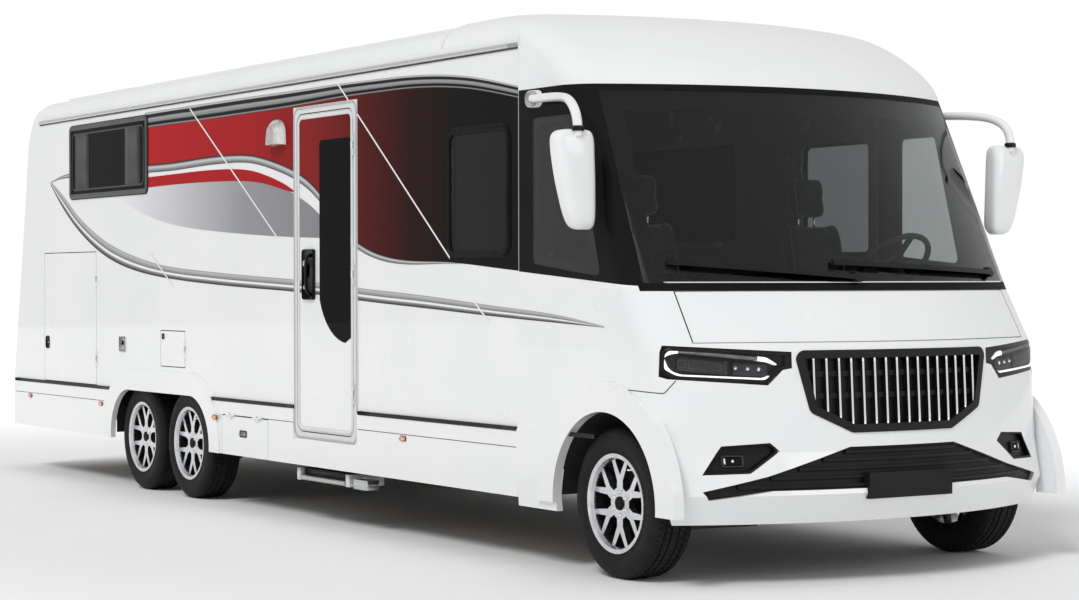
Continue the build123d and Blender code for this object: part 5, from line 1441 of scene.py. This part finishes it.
def pullOutStep():
    look = stepLook
    back, front = look["ends"]
    wide, low, top = look["endWidth"], look["low"], look["top"]
    face, inner = -look["face"], -look["face"] + look["depth"]
    ends = [box((x, x + wide), (face, inner), (low, top), 0.008) for x in (back, front - wide)]
    addPiece("stepEnds", *joined(ends), palePaint, "coach", "white_body")
    carrier = box((back + wide + 0.001, front - wide - 0.001), (face + 0.030, inner - 0.01),
                  (low + 0.036, top))
    addPiece("stepCarrier", *carrier, blackPlastic, "coach", "black_trim")
    # the tread's nosing: a rounded bull nose with three grooves along it, carried between the end plates
    angle = np.linspace(-math.pi / 2, math.pi / 2, 25)
    grooved = 0.022 - 0.0016 * (np.cos(angle * 9) > 0.72)
    profile = np.stack([face + 0.012 - 0.020 * np.cos(angle) * grooved / 0.022,
                        low + 0.019 + 0.017 * np.sin(angle)], axis=1)
    profile = np.concatenate([profile, [(inner - 0.03, low + 0.036), (inner - 0.03, low + 0.002)]])
    x = np.linspace(back + wide + 0.001, front - wide - 0.001, 2)
    points = np.concatenate([np.column_stack([np.full(len(profile), end), profile]) for end in x])
    around = len(profile)
    faces = gridQuads(2, around, False, True).tolist() + [list(range(around))[::-1],
                                                          list(range(around, 2 * around))]
    addPiece("stepTread", points, faces, silver, "coach", "silver_frame", smooth=False)
    x0, x1, z0, z1 = look["bracket"]
    addPiece("stepBracket", *box((x0, x1), (face, face + 0.09), (z0, z1), 0.012), silver, "coach",
             "silver_frame")


pullOutStep()
print("step")


# Back.
# Height and X of the leaning rear face.
rearFace = np.array([(0.695, -4.622), (1.400, -4.478), (2.745, -4.228)])


def onRear(u, v, out):
    # u is Y, v is Z, out is counted backward from the leaning face
    u, v, out = np.broadcast_arrays(np.asarray(u, float), v, out)
    return np.stack([np.interp(v, rearFace[:, 0], rearFace[:, 1]) - out, u, v], axis=-1)


def onBumper(u, v, out):
    u, v, out = np.broadcast_arrays(np.asarray(u, float), v, out)
    return np.stack([-4.640 - out, u, v], axis=-1)


def rearParts():
    # red brake strip high up, corner markers, a small camera in its hood, reflectors and rings round
    # the lamps
    strip = plateOn(-0.170, 0.170, 2.205, 2.235, 0.010, onRear, 0.014, 0.0135)
    base = plateOn(-0.182, 0.182, 2.196, 2.244, 0.014, onRear, 0.006, 0.0055)
    addPiece("brakeStrip", *strip, redLens, "coach", "red_lens")
    addPiece("brakeStripBase", *base, blackPlastic, "coach", "black_trim")
    markersHigh = [plateOn(y - 0.030, y + 0.030, 2.200, 2.240, 0.012, onRear, 0.012, 0.0115)
                   for y in (-1.02, 1.02)]
    addPiece("rearMarkers", *joined(markersHigh), redLens, "coach", "red_lens")
    hood = plateOn(-0.045, 0.045, 2.275, 2.335, 0.020, onRear, 0.040, 0.0395)
    addPiece("rearCameraHood", *hood, paint, "coach", "white_body")
    eye = onRear(0.0, 2.300, 0.0395)
    lensShape = turned([(0.0, 0.006), (0.007, 0.005), (0.011, 0.003), (0.016, 0.0025), (0.018, -0.003)], eye,
                       (-1, 0, 0), 28)
    addPiece("rearCameraLens", *lensShape, blackGloss, "coach", "black_trim")
    reflectors = [plateOn(y - 0.060, y + 0.060, 0.552, 0.598, 0.012, onBumper, -0.0005, 0.0020)
                  for y in (-0.62, 0.62)]
    addPiece("rearReflectors", *joined(reflectors), redLens, "coach", "red_lens")
    rings = []
    angle = np.linspace(0, 2 * math.pi, 48, endpoint=False)
    for y in (-1.110, -0.965, -0.820, 0.820, 0.965, 1.110):
        loop = np.stack([y + 0.0575 * np.cos(angle), 0.575 + 0.0575 * np.sin(angle)], axis=1)
        rings.append(ribbon(loop, 0.0085, -0.0024, 0.0018, onBumper, True, 0.0012))
    addPiece("rearLampRings", *joined(rings), chrome, "coach", "bright_trim")


rearParts()
print("back")


# Stage, light and camera.
def studioFloor():
    size = 60.0
    corners = [(-size, -size, 0), (size, -size, 0), (size, size, 0), (-size, size, 0)]
    mesh = bpy.data.meshes.new("studioFloor")
    mesh.from_pydata(corners, [], [(0, 1, 2, 3)])
    floor = bpy.data.objects.new("studioFloor", mesh)
    bpy.context.scene.collection.objects.link(floor)
    finish, tree, shader = coating("studioFloor", ((0.90, 0.90, 0.90), (0.92, 0.92, 0.92)), 0.4, (0.8, 0.9))
    away = node(tree, "ShaderNodeVectorMath", operation="LENGTH")
    tree.links.new(objectPlace(tree, (0.75, 1.35, 1)), away.inputs[0])
    shader.inputs["Emission Color"].default_value = (1, 1, 1, 1)
    far = node(tree, "ShaderNodeMapRange", interpolation_type="SMOOTHSTEP")
    for socket, number in zip(("From Min", "From Max", "To Min", "To Max"), (4.0, 9.0, 0.0, 1.0)):
        far.inputs[socket].default_value = number
    tree.links.new(away.outputs["Value"], far.inputs["Value"])
    tree.links.new(far.outputs["Result"], shader.inputs["Emission Strength"])
    dimmed = mixed(tree, far.outputs["Result"], shader.inputs["Base Color"].links[0].from_socket,
                   (0.0, 0.0, 0.0))
    tree.links.new(dimmed, shader.inputs["Base Color"])
    mesh.materials.append(finish)


def areaLamp(name, place, target, size, power):
    lamp = bpy.data.lights.new(name, "AREA")
    lamp.shape = "RECTANGLE"
    lamp.size, lamp.size_y = size
    lamp.energy = power
    holder = bpy.data.objects.new(name, lamp)
    holder.location = place
    holder.rotation_euler = (Vector(target) - Vector(place)).to_track_quat("-Z", "Y").to_euler()
    bpy.context.scene.collection.objects.link(holder)


def sunLamp(name, tilt, strength, spreadAngle):
    lamp = bpy.data.lights.new(name, "SUN")
    lamp.energy = strength
    lamp.angle = math.radians(spreadAngle)
    holder = bpy.data.objects.new(name, lamp)
    holder.rotation_euler = (math.radians(tilt[0]), math.radians(-tilt[1]), 0)
    holder.visible_glossy = False
    bpy.context.scene.collection.objects.link(holder)


def studioWorld(strength, mirrored):
    # white where it is seen or mirrored, and a softer grey where it only lights
    world = bpy.data.worlds.new("studio")
    bpy.context.scene.world = world
    world.use_nodes = True
    tree = world.node_tree
    background = tree.nodes["Background"]
    path = node(tree, "ShaderNodeLightPath")
    direct = math2(tree, "MAXIMUM", path.outputs["Is Camera Ray"], path.outputs["Is Transmission Ray"])
    soft = spread(tree, path.outputs["Is Glossy Ray"], strength, mirrored)
    made = node(tree, "ShaderNodeMath", operation="MAXIMUM")
    tree.links.new(direct, made.inputs[0])
    tree.links.new(soft, made.inputs[1])
    tree.links.new(made.outputs["Value"], background.inputs["Strength"])
    background.inputs["Color"].default_value = (1, 1, 1, 1)


def studioCamera():
    eye = {"place": (13.306, -7.564, 1.458), "yaw": 147.901, "pitch": -0.465, "roll": -0.119, "lens": 78.24}
    yaw, pitch, roll = (math.radians(eye[key]) for key in ("yaw", "pitch", "roll"))
    ahead = Vector((math.cos(yaw) * math.cos(pitch), math.sin(yaw) * math.cos(pitch), math.sin(pitch)))
    level = ahead.cross(Vector((0, 0, 1))).normalized()
    above = level.cross(ahead)
    right = level * math.cos(roll) + above * math.sin(roll)
    up = above * math.cos(roll) - level * math.sin(roll)
    camera = bpy.data.objects.new("studioCamera", bpy.data.cameras.new("studioCamera"))
    camera.data.sensor_width = 36
    camera.data.lens = eye["lens"]
    camera.data.clip_end = 200
    camera.matrix_world = Matrix((right, up, -ahead)).transposed().to_4x4()
    camera.location = eye["place"]
    bpy.context.scene.collection.objects.link(camera)
    bpy.context.scene.camera = camera


bpy.context.scene.cycles.sample_clamp_indirect = 1.5
bpy.context.scene.cycles.caustics_reflective = False
studioFloor()
studioWorld(0.55, 0.75)
sunLamp("key", (38, -24), 1.45, 18)
areaLamp("front", (13.0, 2.5, 4.5), (4.2, 0, 1.3), (5, 4), 90)
studioCamera()
bpy.context.scene.view_settings.view_transform = "Standard"
print("studio")
